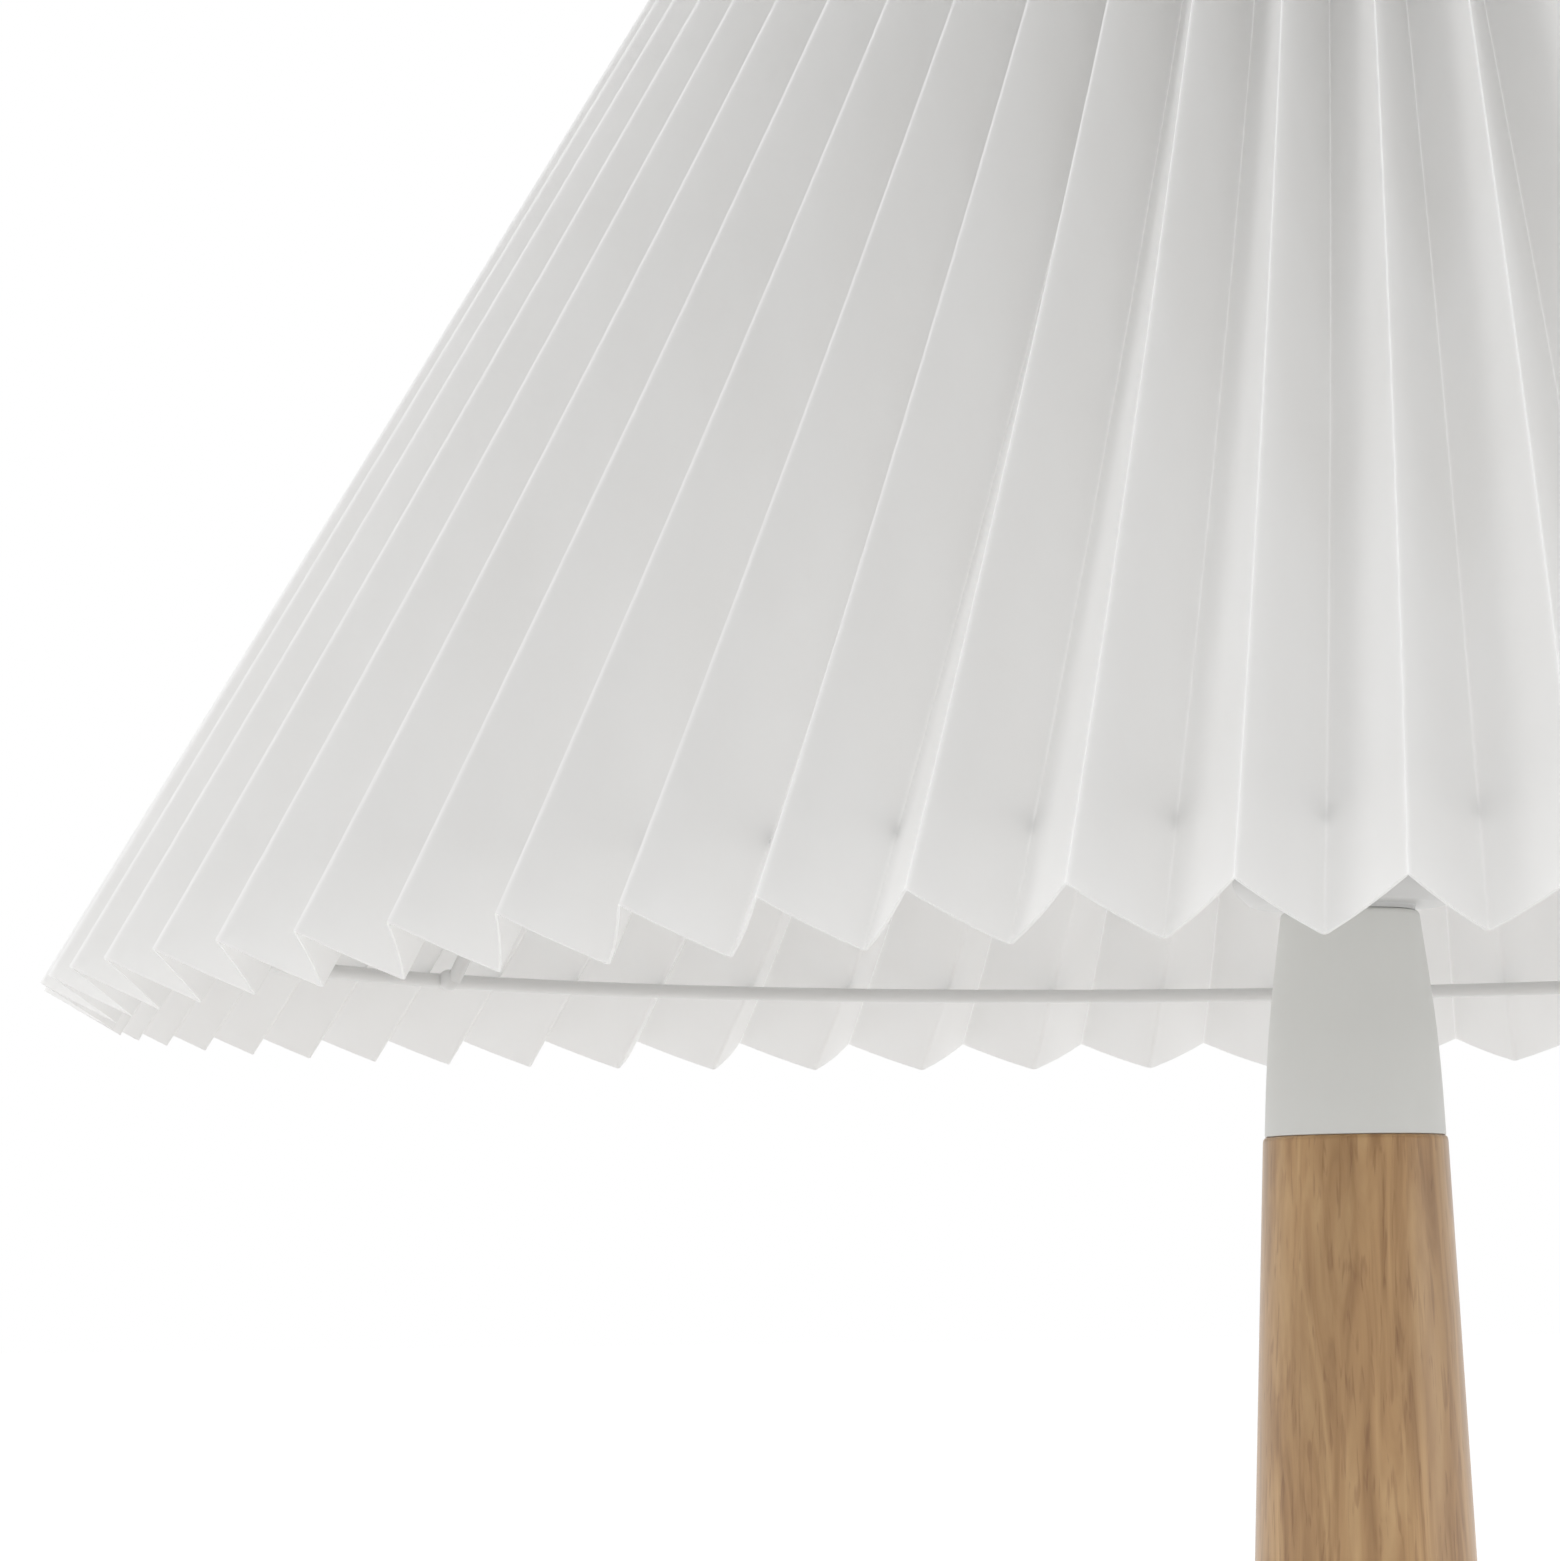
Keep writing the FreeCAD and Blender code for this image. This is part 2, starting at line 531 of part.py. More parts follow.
def make_struts_and_arms():
    """Three straight struts join the two rings inside the paper, and three arms run from the
    fitter ring to the struts, meeting them square."""
    strut_foot = of(LOWER_RING_RADIUS + " - " + STRUT_INSET)
    strut_top = of(TOP_RING_RADIUS + " - " + STRUT_INSET)
    arm_height = of(FITTER_FOOT + " + {fitter_thickness} / 2 - " + RIM)
    rise = f"atan({VALLEY_TAPER})"
    bend_start = "{fitter_radius} + {weld_gap} + {arm_flat}"
    bend_end = of(f"{bend_start} + {{arm_bend_radius}} * sin({rise})")
    bend_top = of(f"{arm_height} + {{arm_bend_radius}} * (1 - cos({rise}))")
    meeting = of(f"({strut_foot} - {VALLEY_TAPER} * ({bend_top} - {VALLEY_TAPER} * {bend_end}"
                 f" - {{lower_ring_height}})) / (1 + {VALLEY_TAPER} ^ 2)")
    arm_end = of(f"{meeting} - ({{wire_radius}} + {{weld_gap}}) * cos({rise})")
    arm_top = of(f"{bend_top} + {VALLEY_TAPER} * ({arm_end} - {bend_end})")
    for place in range(int(value("{strut_count}"))):
        turn = of(f"{{first_strut}} + {place} * 360 / {{strut_count}}")
        wire_piece(f"side_strut_{place + 1}", [
            (strut_foot, "{lower_ring_height}"), (strut_top, TOP_RING_HEIGHT)], RIM, turn)
        wire_piece(f"spider_arm_{place + 1}", [
            ("{fitter_radius} + {weld_gap}", arm_height), (bend_start, arm_height),
            (bend_end, bend_top, "-1 * {arm_bend_radius}"), (arm_end, arm_top)], RIM, turn)


# ---------------------------------------------------------------- pleated shade

def fold_ends(ridge_radius, height):
    """The zigzag line of one end of the paper: outside corners, then inside corners, which are
    set in by the paper's thickness as it is measured across a panel."""
    valley_radius, valley_rise = (value(part) for part in valley_end(ridge_radius))
    step = math.radians(value(HALF_PITCH))
    inset = (value("{paper_thickness} * {panel_width}") / (valley_radius * math.sin(step)))
    slant = math.atan(value(SLOPE))
    outside, inside = [], []
    for fold in range(2 * int(value("{pleat_count}"))):
        azimuth = math.radians(value("{first_ridge}")) + fold * step
        radius, rise = (valley_radius, valley_rise) if fold % 2 else (value(ridge_radius), 0.0)
        for corners, shift in ((outside, 0.0), (inside, inset)):
            reach = radius - shift * math.cos(slant)
            corners.append(FreeCAD.Vector(reach * math.cos(azimuth), reach * math.sin(azimuth),
                                          height + rise - shift * math.sin(slant)))
    return outside, inside


def make_pleated_shade():
    """One strip of stiff paper, folded into a closed ring of ridges and valleys.  Each panel is
    as wide at the top as at the foot, so it twists a little, and is two flat triangles here.
    Both its sides are split from the ridge's foot to the valley's top.  Each valley is notched
    where the top ring lies."""
    foot_out, foot_in = fold_ends("{rim_radius}", 0.0)
    top_out, top_in = fold_ends("{shade_top_radius}", value("{shade_height}"))
    faces = []
    for fold in range(len(foot_out)):
        after = (fold + 1) % len(foot_out)
        for near, far, side in ((foot_out, top_out, 0), (top_in, foot_in, 1),
                                (top_out, top_in, 0), (foot_in, foot_out, 0)):
            corners = [near[fold], near[after], far[after], far[fold]]
            start = (fold + side) % 2
            one, two, three, four = corners[start:] + corners[:start]
            for triangle in ((one, two, three), (one, three, four)):
                faces.append(Part.Face(Part.makePolygon([*triangle, one])))
    paper = Part.Solid(Part.Shell(faces))
    shade = doc.addObject("Part::Feature", "pleated_shade")
    shade.Label = "pleated_shade"
    shade.Shape = paper.cut(Part.makeCompound(notch_tools())).Solids[0]
    shade.Placement.Base = FreeCAD.Vector(0, 0, value(RIM))


def notch_tools():
    """A six-sided bar along the top ring at each valley, a little thicker than the wire."""
    radius, height = value(TOP_RING_RADIUS), value(TOP_RING_HEIGHT)
    across = value("{wire_radius} + {notch_clearance}") / math.cos(math.pi / 6)
    step = math.radians(value(HALF_PITCH))
    length = 2 * radius * math.sin(step)
    corners = [FreeCAD.Vector(-length / 2, across * math.cos(turn), across * math.sin(turn))
               for turn in (place * math.pi / 3 for place in range(6))]
    bar = Part.Face(Part.makePolygon([*corners, corners[0]])).extrude(
        FreeCAD.Vector(length, 0, 0))
    bars = []
    for pleat in range(int(value("{pleat_count}"))):
        azimuth = value("{first_ridge}") + math.degrees((2 * pleat + 1) * step)
        copy = bar.copy()
        copy.translate(FreeCAD.Vector(0, -radius, height))
        copy.rotate(FreeCAD.Vector(), FreeCAD.Vector(0, 0, 1), azimuth + 90)
        bars.append(copy)
    return bars


# ---------------------------------------------------------------- bulb

def make_bulb():
    """A frosted lamp with a screw cap: glass, brass cap, dark insulator and tip."""
    insulator_top = "{bulb_contact_height} + {bulb_insulator_height}"
    cap_top = insulator_top + " + {bulb_cap_height}"
    centre = "{bulb_length} - {bulb_radius}"
    turned("bulb_contact", ring_section("0", "{bulb_contact_radius}", "0",
                                        "{bulb_contact_height}"), BULB_FOOT)
    turned("bulb_insulator", [
        ("0", "{bulb_contact_height}"), ("{bulb_contact_radius}", "{bulb_contact_height}"),
        ("{bulb_insulator_radius}", insulator_top), ("0", insulator_top)], BULB_FOOT)
    turned("bulb_cap", [
        ("{bulb_insulator_radius} - {sleeve_wall}", insulator_top),
        ("{bulb_insulator_radius}", insulator_top),
        ("{bulb_cap_radius}", insulator_top + " + 0.2 * {bulb_cap_height}"),
        ("{bulb_cap_radius}", cap_top), ("{bulb_cap_radius} - {sleeve_wall}", cap_top),
        ("{bulb_cap_radius} - {sleeve_wall}", insulator_top + " + 0.2 * {bulb_cap_height}"),
    ], BULB_FOOT)
    neck = "{bulb_neck_radius}"
    lean = of("{bulb_shoulder_angle}")
    turned("bulb_glass", [
        ("0", cap_top + " - {bulb_neck_depth}"), (neck, cap_top + " - {bulb_neck_depth}"),
        (neck, "{bulb_neck_height}"),
        (f"{{bulb_radius}} * cos({lean})", f"{centre} - {{bulb_radius}} * sin({lean})"),
        ("0", "{bulb_length}", "-1 * {bulb_radius}"),
    ], BULB_FOOT)


# ---------------------------------------------------------------- build, check and write

NODES = [
    "felt_pad", "base_disc", "ballast_plate", "ballast_screws", "cord_bush", "rod_nut",
    "rod_washer", "threaded_rod", "stem", "collar", "holder_washer", "lampholder_cap",
    "lampholder_shell", "lampholder_insulator", "terminal_screws", "screw_sleeve",
    "centre_contact", "seat_ring", "retaining_ring", "fitter_ring", "lower_ring", "top_ring",
    "pleated_shade", "bulb_contact", "bulb_insulator", "bulb_cap", "bulb_glass",
]

for make in (make_felt_pad, make_base_disc, make_ballast_plate, make_ballast_screws,
             make_cord_bush, make_stem, make_collar, make_threaded_rod, make_holder_washer,
             make_lampholder_cap, make_lampholder_shell, make_insulator, make_contacts,
             make_clamp_rings, make_fitter_ring, make_carrier_rings, make_struts_and_arms,
             make_pleated_shade, make_bulb):
    make()
doc.recompute()

NODES += [f"{wire}_{place + 1}" for wire in ("side_strut", "spider_arm")
          for place in range(int(value("{strut_count}")))]
faults = [f"{item.Name}: {item.State}" for item in doc.Objects
          if "Invalid" in item.State or "Error" in item.State]
for node in NODES:
    shape = doc.getObject(node).Shape
    if shape.isNull() or not shape.isValid() or shape.Volume <= 0:
        faults.append(f"{node}: no valid solid")
if faults:
    raise RuntimeError("; ".join(faults))

os.makedirs("parts", exist_ok=True)
for node in NODES:
    shape = doc.getObject(node).Shape
    shape.exportStep(f"parts/{node}.step")
    box = shape.BoundBox
    print(f"{node}: {len(shape.Solids)} solid(s), {shape.Volume / 1000:.2f} cm3,"
          f" z {box.ZMin:.2f} to {box.ZMax:.2f}, radius {max(box.XMax, box.YMax):.2f}")
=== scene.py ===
# %% [markdown]
# # A pleated paper table lamp
# The lamp has a turned wooden foot and stem, a white metal collar, a screw lampholder and a
# wide shade of folded paper on a wire carrier.  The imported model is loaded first.  It gives
# every piece its place and size, and the steps below give the pieces their finished look.

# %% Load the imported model
import math
import bpy
from mathutils import Matrix, Vector


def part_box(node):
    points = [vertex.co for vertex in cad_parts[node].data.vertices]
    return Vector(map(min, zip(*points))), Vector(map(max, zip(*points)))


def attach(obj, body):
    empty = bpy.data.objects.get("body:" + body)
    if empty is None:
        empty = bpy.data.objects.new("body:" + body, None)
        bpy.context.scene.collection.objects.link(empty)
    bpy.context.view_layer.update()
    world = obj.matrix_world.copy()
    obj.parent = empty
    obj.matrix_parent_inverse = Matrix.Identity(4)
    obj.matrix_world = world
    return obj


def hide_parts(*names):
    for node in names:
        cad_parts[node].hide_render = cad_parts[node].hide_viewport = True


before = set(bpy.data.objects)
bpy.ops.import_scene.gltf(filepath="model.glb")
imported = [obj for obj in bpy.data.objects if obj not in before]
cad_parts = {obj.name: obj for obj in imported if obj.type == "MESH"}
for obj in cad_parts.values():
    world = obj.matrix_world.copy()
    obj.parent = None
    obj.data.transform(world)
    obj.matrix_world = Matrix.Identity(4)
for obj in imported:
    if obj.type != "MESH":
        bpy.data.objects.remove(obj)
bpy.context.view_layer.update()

# %% [markdown]
# ## Camera
# The photograph is a close view of the left and lower part of the shade.  Its camera stands
# 0.9 m in front of the stem's axis and a little under the rim of the shade, tilted up about
# six degrees, with a long lens.  The values come from fitting the pleats' ends by least
# squares.  A camera could be aimed at a point, but a place and three turns keep such a fit
# exactly.

# %% Camera
SENSOR_WIDTH = 36.0
LENS = 119.2
CAMERA_DISTANCE = 0.8994
CAMERA_BELOW_RIM = 0.05396
TURN_LEFT = 0.1097
TILT_UP = 0.0998
ROLL = -0.0137

COLLAR_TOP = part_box("collar")[1][2]
COLLAR_ABOVE_RIM = 0.0113
RIM = COLLAR_TOP - COLLAR_ABOVE_RIM


def look_matrix():
    """The camera's axes: its right, its up, and the way back from what it sees."""
    forward = Vector((-math.sin(TURN_LEFT) * math.cos(TILT_UP),
                      math.cos(TURN_LEFT) * math.cos(TILT_UP), math.sin(TILT_UP)))
    level = Vector((math.cos(TURN_LEFT), math.sin(TURN_LEFT), 0))
    upright = level.cross(forward)
    right = math.cos(ROLL) * level + math.sin(ROLL) * upright
    up = math.cos(ROLL) * upright - math.sin(ROLL) * level
    axes = Matrix((right, up, -forward)).transposed().to_4x4()
    axes.translation = (0, -CAMERA_DISTANCE, RIM - CAMERA_BELOW_RIM)
    return axes


camera_data = bpy.data.cameras.new("camera")
camera_data.lens = LENS
camera_data.sensor_width = SENSOR_WIDTH
camera = bpy.data.objects.new("camera", camera_data)
bpy.context.scene.collection.objects.link(camera)
camera.matrix_world = look_matrix()
bpy.context.scene.camera = camera
bpy.context.scene.view_settings.view_transform = "Standard"
print("camera at", tuple(camera.matrix_world.translation))

# %% [markdown]
# ## Studio
# The lamp stands on a pale floor in white surroundings.  One large soft lamp hangs overhead,
# and its light comes down through the top of the shade.  One stands behind on the left, so
# that it shines through the paper, and two weaker ones fill in from the left and the right.
# White that only the camera sees comes from Light Path, so it adds nothing to the paper.

# %% Floor, surroundings and lamps
WORLD_STRENGTH = 0.71
FLOOR_SIZE = 60.0
FLOOR_GREY = 0.86
FLOOR_LIFT = 0.43
LAMP_AIM = Vector((0, 0, 0.40))
# Each lamp's place, width in metres and power in watts.
LAMPS = {
    "top_softbox": ((0.1, 0, 2.4), 0.9, 14.5),
    "left_softbox": ((-1.9, -0.5, 1.9), 0.9, 11),
    "back_softbox": ((-1.69, 1.41, 1.62), 0.8, 13.5),
    "right_softbox": ((2.0, -0.3, 0.75), 0.9, 4),
}


def nodes_of(owner):
    """The empty node tree of a world or a material."""
    owner.use_nodes = True
    tree = owner.node_tree
    tree.nodes.clear()
    return tree


def join(tree, *chain):
    """Links (node, output) to (node, input), pair after pair."""
    for (source, output), (target, slot) in zip(chain[::2], chain[1::2]):
        tree.links.new(source.outputs[output], target.inputs[slot])


def background_rays(tree):
    """1 for rays that look at the background itself, from the camera, a mirror or glass."""
    path = tree.nodes.new("ShaderNodeLightPath")
    seen = tree.nodes.new("ShaderNodeMath")
    seen.operation = "MAXIMUM"
    all_seen = tree.nodes.new("ShaderNodeMath")
    all_seen.operation = "MAXIMUM"
    join(tree, (path, "Is Camera Ray"), (seen, 0), (path, "Is Transmission Ray"), (seen, 1),
         (seen, 0), (all_seen, 0), (path, "Is Glossy Ray"), (all_seen, 1))
    return all_seen


def make_world():
    """White surroundings: even light, and full white where they are looked at."""
    world = bpy.data.worlds.new("studio")
    bpy.context.scene.world = world
    tree = nodes_of(world)
    strength = tree.nodes.new("ShaderNodeMapRange")
    strength.inputs["To Min"].default_value = WORLD_STRENGTH
    strength.inputs["To Max"].default_value = 1.0
    light = tree.nodes.new("ShaderNodeBackground")
    light.inputs["Color"].default_value = (1, 1, 1, 1)
    out = tree.nodes.new("ShaderNodeOutputWorld")
    join(tree, (background_rays(tree), 0), (strength, "Value"), (strength, "Result"),
         (light, "Strength"), (light, "Background"), (out, "Surface"))


def make_floor():
    """A wide pale floor that keeps the shadow but is lifted to white elsewhere."""
    bpy.ops.object.select_all(action="DESELECT")
    bpy.ops.mesh.primitive_plane_add(size=FLOOR_SIZE, location=(0, 0, 0))
    floor = bpy.context.object
    floor.name = "floor"
    material = bpy.data.materials.new("pale_floor")
    tree = nodes_of(material)
    paint = tree.nodes.new("ShaderNodeBsdfDiffuse")
    paint.inputs["Color"].default_value = (FLOOR_GREY, FLOOR_GREY, FLOOR_GREY, 1)
    glow = tree.nodes.new("ShaderNodeEmission")
    lift = tree.nodes.new("ShaderNodeMath")
    lift.operation = "MULTIPLY"
    lift.inputs[1].default_value = FLOOR_LIFT
    both = tree.nodes.new("ShaderNodeAddShader")
    out = tree.nodes.new("ShaderNodeOutputMaterial")
    join(tree, (background_rays(tree), 0), (lift, 0), (lift, 0), (glow, "Strength"),
         (paint, "BSDF"), (both, 0), (glow, "Emission"), (both, 1), (both, 0), (out, "Surface"))
    floor.data.materials.append(material)


def make_lamp(name, place, width, power):
    """A square soft lamp that points at the middle of the shade."""
    lamp_data = bpy.data.lights.new(name, "AREA")
    lamp_data.size = width
    lamp_data.energy = power
    lamp = bpy.data.objects.new(name, lamp_data)
    bpy.context.scene.collection.objects.link(lamp)
    lamp.location = place
    lamp.rotation_euler = (LAMP_AIM - Vector(place)).to_track_quat("-Z", "Y").to_euler()


make_world()
make_floor()
for lamp_name, values in LAMPS.items():
    make_lamp(lamp_name, *values)
print("lamps", *LAMPS)

# %% [markdown]
# ## Materials
# Each finish is a principled shader with its own fine pattern.  Patterns read Object
# coordinates in metres, so that a scale of 1000 is a detail of a millimetre.  The helpers
# below add one texture, one colour ramp or one bump at a time.

# %% Material helpers


def new_material(name, colour, roughness, **sockets):
    """A principled material.  Sockets are given by name, with _ for a space."""
    material = bpy.data.materials.new(name)
    tree = nodes_of(material)
    shader = tree.nodes.new("ShaderNodeBsdfPrincipled")
    shader.name = "surface"
    out = tree.nodes.new("ShaderNodeOutputMaterial")
    out.name = "out"
    shader.inputs["Base Color"].default_value = (*colour, 1)
    shader.inputs["Roughness"].default_value = roughness
    for socket, number in sockets.items():
        shader.inputs[socket.replace("_", " ")].default_value = number
    join(tree, (shader, "BSDF"), (out, "Surface"))
    return material


def noise(tree, scale, stretch=(1, 1, 1), detail=3.0, roughness=0.5, distortion=0.0):
    """Noise on Object coordinates, drawn out along an axis by its stretch."""
    place = tree.nodes.new("ShaderNodeTexCoord")
    mapping = tree.nodes.new("ShaderNodeMapping")
    mapping.inputs["Scale"].default_value = [scale / part for part in stretch]
    texture = tree.nodes.new("ShaderNodeTexNoise")
    texture.inputs["Scale"].default_value = 1.0
    texture.inputs["Detail"].default_value = detail
    texture.inputs["Roughness"].default_value = roughness
    texture.inputs["Distortion"].default_value = distortion
    join(tree, (place, "Object"), (mapping, "Vector"), (mapping, "Vector"), (texture, "Vector"))
    return texture


def ramp_of(tree, source, *stops):
    """A colour ramp over a texture: stops are (position, colour)."""
    ramp = tree.nodes.new("ShaderNodeValToRGB")
    while len(ramp.color_ramp.elements) < len(stops):
        ramp.color_ramp.elements.new(0.5)
    for element, (position, colour) in zip(ramp.color_ramp.elements, stops):
        element.position = position
        element.color = (*colour, 1)
    join(tree, (source, 0), (ramp, "Fac"))
    return ramp


def multiplied(tree, below, above, strength):
    """One colour multiplied by another: each is given as (node, output)."""
    mix = tree.nodes.new("ShaderNodeMix")
    mix.data_type = "RGBA"
    mix.blend_type = "MULTIPLY"
    mix.inputs["Factor"].default_value = strength
    join(tree, below, (mix, "A"), above, (mix, "B"))
    return mix


def colour_from(tree, source, output=0):
    """Takes the surface's colour from a node's output."""
    tree.links.new(source.outputs[output], tree.nodes["surface"].inputs["Base Color"])


def rough_from(tree, source, low, high):
    """Roughness that wanders between two values with a texture."""
    spread = tree.nodes.new("ShaderNodeMapRange")
    spread.inputs["To Min"].default_value = low
    spread.inputs["To Max"].default_value = high
    join(tree, (source, 0), (spread, "Value"),
         (spread, "Result"), (tree.nodes["surface"], "Roughness"))


def add_bump(tree, source, distance, strength):
    """Raises the surface by a texture, at most by a distance in metres."""
    bump = tree.nodes.new("ShaderNodeBump")
    bump.inputs["Distance"].default_value = distance
    bump.inputs["Strength"].default_value = strength
    join(tree, (source, 0), (bump, "Height"), (bump, "Normal"),
         (tree.nodes["surface"], "Normal"))


# %% [markdown]
# ### Paper
# The shade is stiff paper with a matt laminate.  It lets some light through, so its surface is
# mixed with a translucent shader.  Subsurface scattering would do the same inside a thick
# wall, but paper is thinner than its blur.  The mottle is weak, the fibres only show in the
# bump, and a painted highlight whitens the sharp outer folds, as a light line along each ridge.

# %% Paper
PAPER_LIGHT = (0.900, 0.899, 0.894)
PAPER_DARK = (0.873, 0.870, 0.862)
PAPER_THROUGH = (0.965, 0.963, 0.958, 1)
PAPER_GLOW = 0.38
# The colour of the painted highlight along the outer folds.
PAINTED_HIGHLIGHT_WHITE = (0.985, 0.985, 0.985)


def make_paper():
    """Matt paper that lets light through, with a painted highlight along the outer folds."""
    material = new_material("laminated_paper", PAPER_LIGHT, 0.55, Specular_IOR_Level=0.3)
    tree = material.node_tree
    mottle = ramp_of(tree, noise(tree, 60.0, (1, 1, 6), detail=4.0),
                     (0.3, PAPER_DARK), (0.7, PAPER_LIGHT))
    # Painted highlight: the colour turns whiter along the outer folds, as a light line on each
    # ridge.
    painted_ridge_highlight = tree.nodes.new("ShaderNodeAttribute")
    painted_ridge_highlight.attribute_name = "painted_ridge_highlight"
    painted_highlight_mix = tree.nodes.new("ShaderNodeMix")
    painted_highlight_mix.data_type = "RGBA"
    painted_highlight_mix.inputs["B"].default_value = (*PAINTED_HIGHLIGHT_WHITE, 1)
    join(tree, (painted_ridge_highlight, "Fac"), (painted_highlight_mix, "Factor"), (mottle, "Color"), (painted_highlight_mix, "A"))
    colour_from(tree, painted_highlight_mix, "Result")
    add_bump(tree, noise(tree, 900.0, detail=2.0), 0.00006, 0.35)
    through = tree.nodes.new("ShaderNodeBsdfTranslucent")
    through.inputs["Color"].default_value = PAPER_THROUGH
    mixed = tree.nodes.new("ShaderNodeMixShader")
    mixed.inputs["Fac"].default_value = PAPER_GLOW
    join(tree, (tree.nodes["surface"], "BSDF"), (mixed, 1), (through, "BSDF"), (mixed, 2),
         (mixed, "Shader"), (tree.nodes["out"], "Surface"))
    return material


paper = make_paper()
print("finish", paper.name)

# %% [markdown]
# ### Wood
# Stem and foot are a pale hardwood under satin lacquer.  Along the grain the pattern is drawn
# out about ten times: broad bands, wavering streaks and short dark pores.  In the stem the
# grain runs upright, and in the foot, which is turned from a board, it runs across.

# %% Wood
WOOD_PALE = (0.600, 0.380, 0.180)
WOOD_MID = (0.490, 0.287, 0.122)
WOOD_DEEP = (0.350, 0.185, 0.068)
WOOD_PORE = (0.62, 0.52, 0.44)
WOOD_BAND = (0.80, 0.77, 0.72)
GRAIN_STRETCH = 11


def make_wood(name, grain):
    """Satin lacquered wood, with its grain drawn out by (x, y, z)."""
    material = new_material(name, WOOD_MID, 0.38, Coat_Weight=0.45, Coat_Roughness=0.30)
    tree = material.node_tree
    streaks = noise(tree, 210.0, grain, detail=4.0, roughness=0.52, distortion=1.6)
    base = ramp_of(tree, streaks, (0.30, WOOD_DEEP), (0.48, WOOD_MID), (0.68, WOOD_PALE))
    bands = noise(tree, 70.0, [part ** 0.6 for part in grain], detail=2.0, distortion=0.8)
    tones = ramp_of(tree, bands, (0.35, WOOD_BAND), (0.62, (1.0, 1.0, 1.0)))
    pores = noise(tree, 850.0, [part * 0.7 for part in grain], detail=1.0, distortion=0.6)
    marks = ramp_of(tree, pores, (0.30, WOOD_PORE), (0.42, (1.0, 1.0, 1.0)))
    toned = multiplied(tree, (base, "Color"), (tones, "Color"), 1.0)
    marked = multiplied(tree, (toned, "Result"), (marks, "Color"), 0.55)
    colour_from(tree, marked, "Result")
    rough_from(tree, streaks, 0.32, 0.46)
    add_bump(tree, pores, 0.00004, 0.4)
    return material


stem_wood = make_wood("lacquered_wood_upright", (1, 1, GRAIN_STRETCH))
foot_wood = make_wood("lacquered_wood_across", (GRAIN_STRETCH, 1, 1))
print("finishes", stem_wood.name, foot_wood.name)

# %% [markdown]
# ### Painted metal, plastic, ceramic and felt
# The collar has a smooth powder coat, slightly grey next to the paper.  The wires are dipped
# in white.  The lampholder is moulded plastic with a fine matt grain.  All of these are one
# recipe with its own colour, gloss and grain, so one function makes them.

# %% Painted metal, plastic, ceramic and felt
CLOUD_TONE = 0.97


def make_coating(name, colour, roughness, grain, depth):
    """A coat of paint or a moulding: an even colour, slightly clouded, with a fine grain."""
    material = new_material(name, colour, roughness)
    tree = material.node_tree
    cloud = noise(tree, 45.0, detail=2.0)
    deep = tuple(part * CLOUD_TONE for part in colour)
    colour_from(tree, ramp_of(tree, cloud, (0.3, deep), (0.7, colour)))
    rough_from(tree, cloud, roughness * 0.92, roughness * 1.08)
    add_bump(tree, noise(tree, grain, detail=2.0), depth, 0.5)
    return material


collar_coat = make_coating("collar_powder_coat", (0.765, 0.765, 0.737), 0.50, 1400.0, 0.00003)
wire_coat = make_coating("white_dipped_wire", (0.74, 0.74, 0.73), 0.50, 700.0, 0.00005)
white_plastic = make_coating("moulded_white_plastic", (0.66, 0.66, 0.65), 0.45, 2200.0, 0.00002)
ceramic = make_coating("glazed_ceramic", (0.82, 0.80, 0.76), 0.16, 260.0, 0.00004)
opal_glass = make_coating("frosted_opal_glass", (0.86, 0.86, 0.84), 0.24, 1800.0, 0.00001)
dark_glass = make_coating("moulded_black_glass", (0.018, 0.018, 0.022), 0.18, 500.0, 0.00002)


def make_felt():
    """Dark wool felt with short tangled fibres."""
    material = new_material("wool_felt", (0.035, 0.033, 0.031), 0.95, Sheen_Weight=0.4,
                            Sheen_Roughness=0.5)
    tree = material.node_tree
    fibres = noise(tree, 1500.0, (1, 1, 0.3), detail=6.0, roughness=0.75, distortion=1.2)
    colour_from(tree, ramp_of(tree, fibres, (0.3, (0.020, 0.019, 0.018)),
                              (0.7, (0.055, 0.052, 0.049))))
    add_bump(tree, fibres, 0.0004, 0.8)
    return material


felt = make_felt()
print("finishes", collar_coat.name, wire_coat.name, white_plastic.name, ceramic.name,
      opal_glass.name, dark_glass.name, felt.name)

# %% [markdown]
# ### Bare metal
# Steel parts are zinc plated, with a faint crystalline cloud, and the contacts are bright
# brass.  Fine turning marks run round the axis, so their noise is squeezed along Z.

# %% Bare metal
METAL_TONE = 0.86
TURNING_MARKS = (1, 1, 0.04)


def make_metal(name, colour, roughness):
    """Bare metal with a faint cloud and turning marks that run round the axis."""
    material = new_material(name, colour, roughness, Metallic=1.0)
    tree = material.node_tree
    cloud = noise(tree, 160.0, detail=3.0)
    deep = tuple(part * METAL_TONE for part in colour)
    colour_from(tree, ramp_of(tree, cloud, (0.3, deep), (0.7, colour)))
    rough_from(tree, cloud, roughness * 0.8, roughness * 1.25)
    add_bump(tree, noise(tree, 120.0, TURNING_MARKS, detail=2.0), 0.00002, 0.4)
    return material


zinc_steel = make_metal("zinc_plated_steel", (0.60, 0.60, 0.61), 0.34)
brass = make_metal("bright_brass", (0.80, 0.62, 0.33), 0.24)
nickel = make_metal("nickel_plated_cap", (0.66, 0.65, 0.62), 0.26)
print("finishes", zinc_steel.name, brass.name, nickel.name)

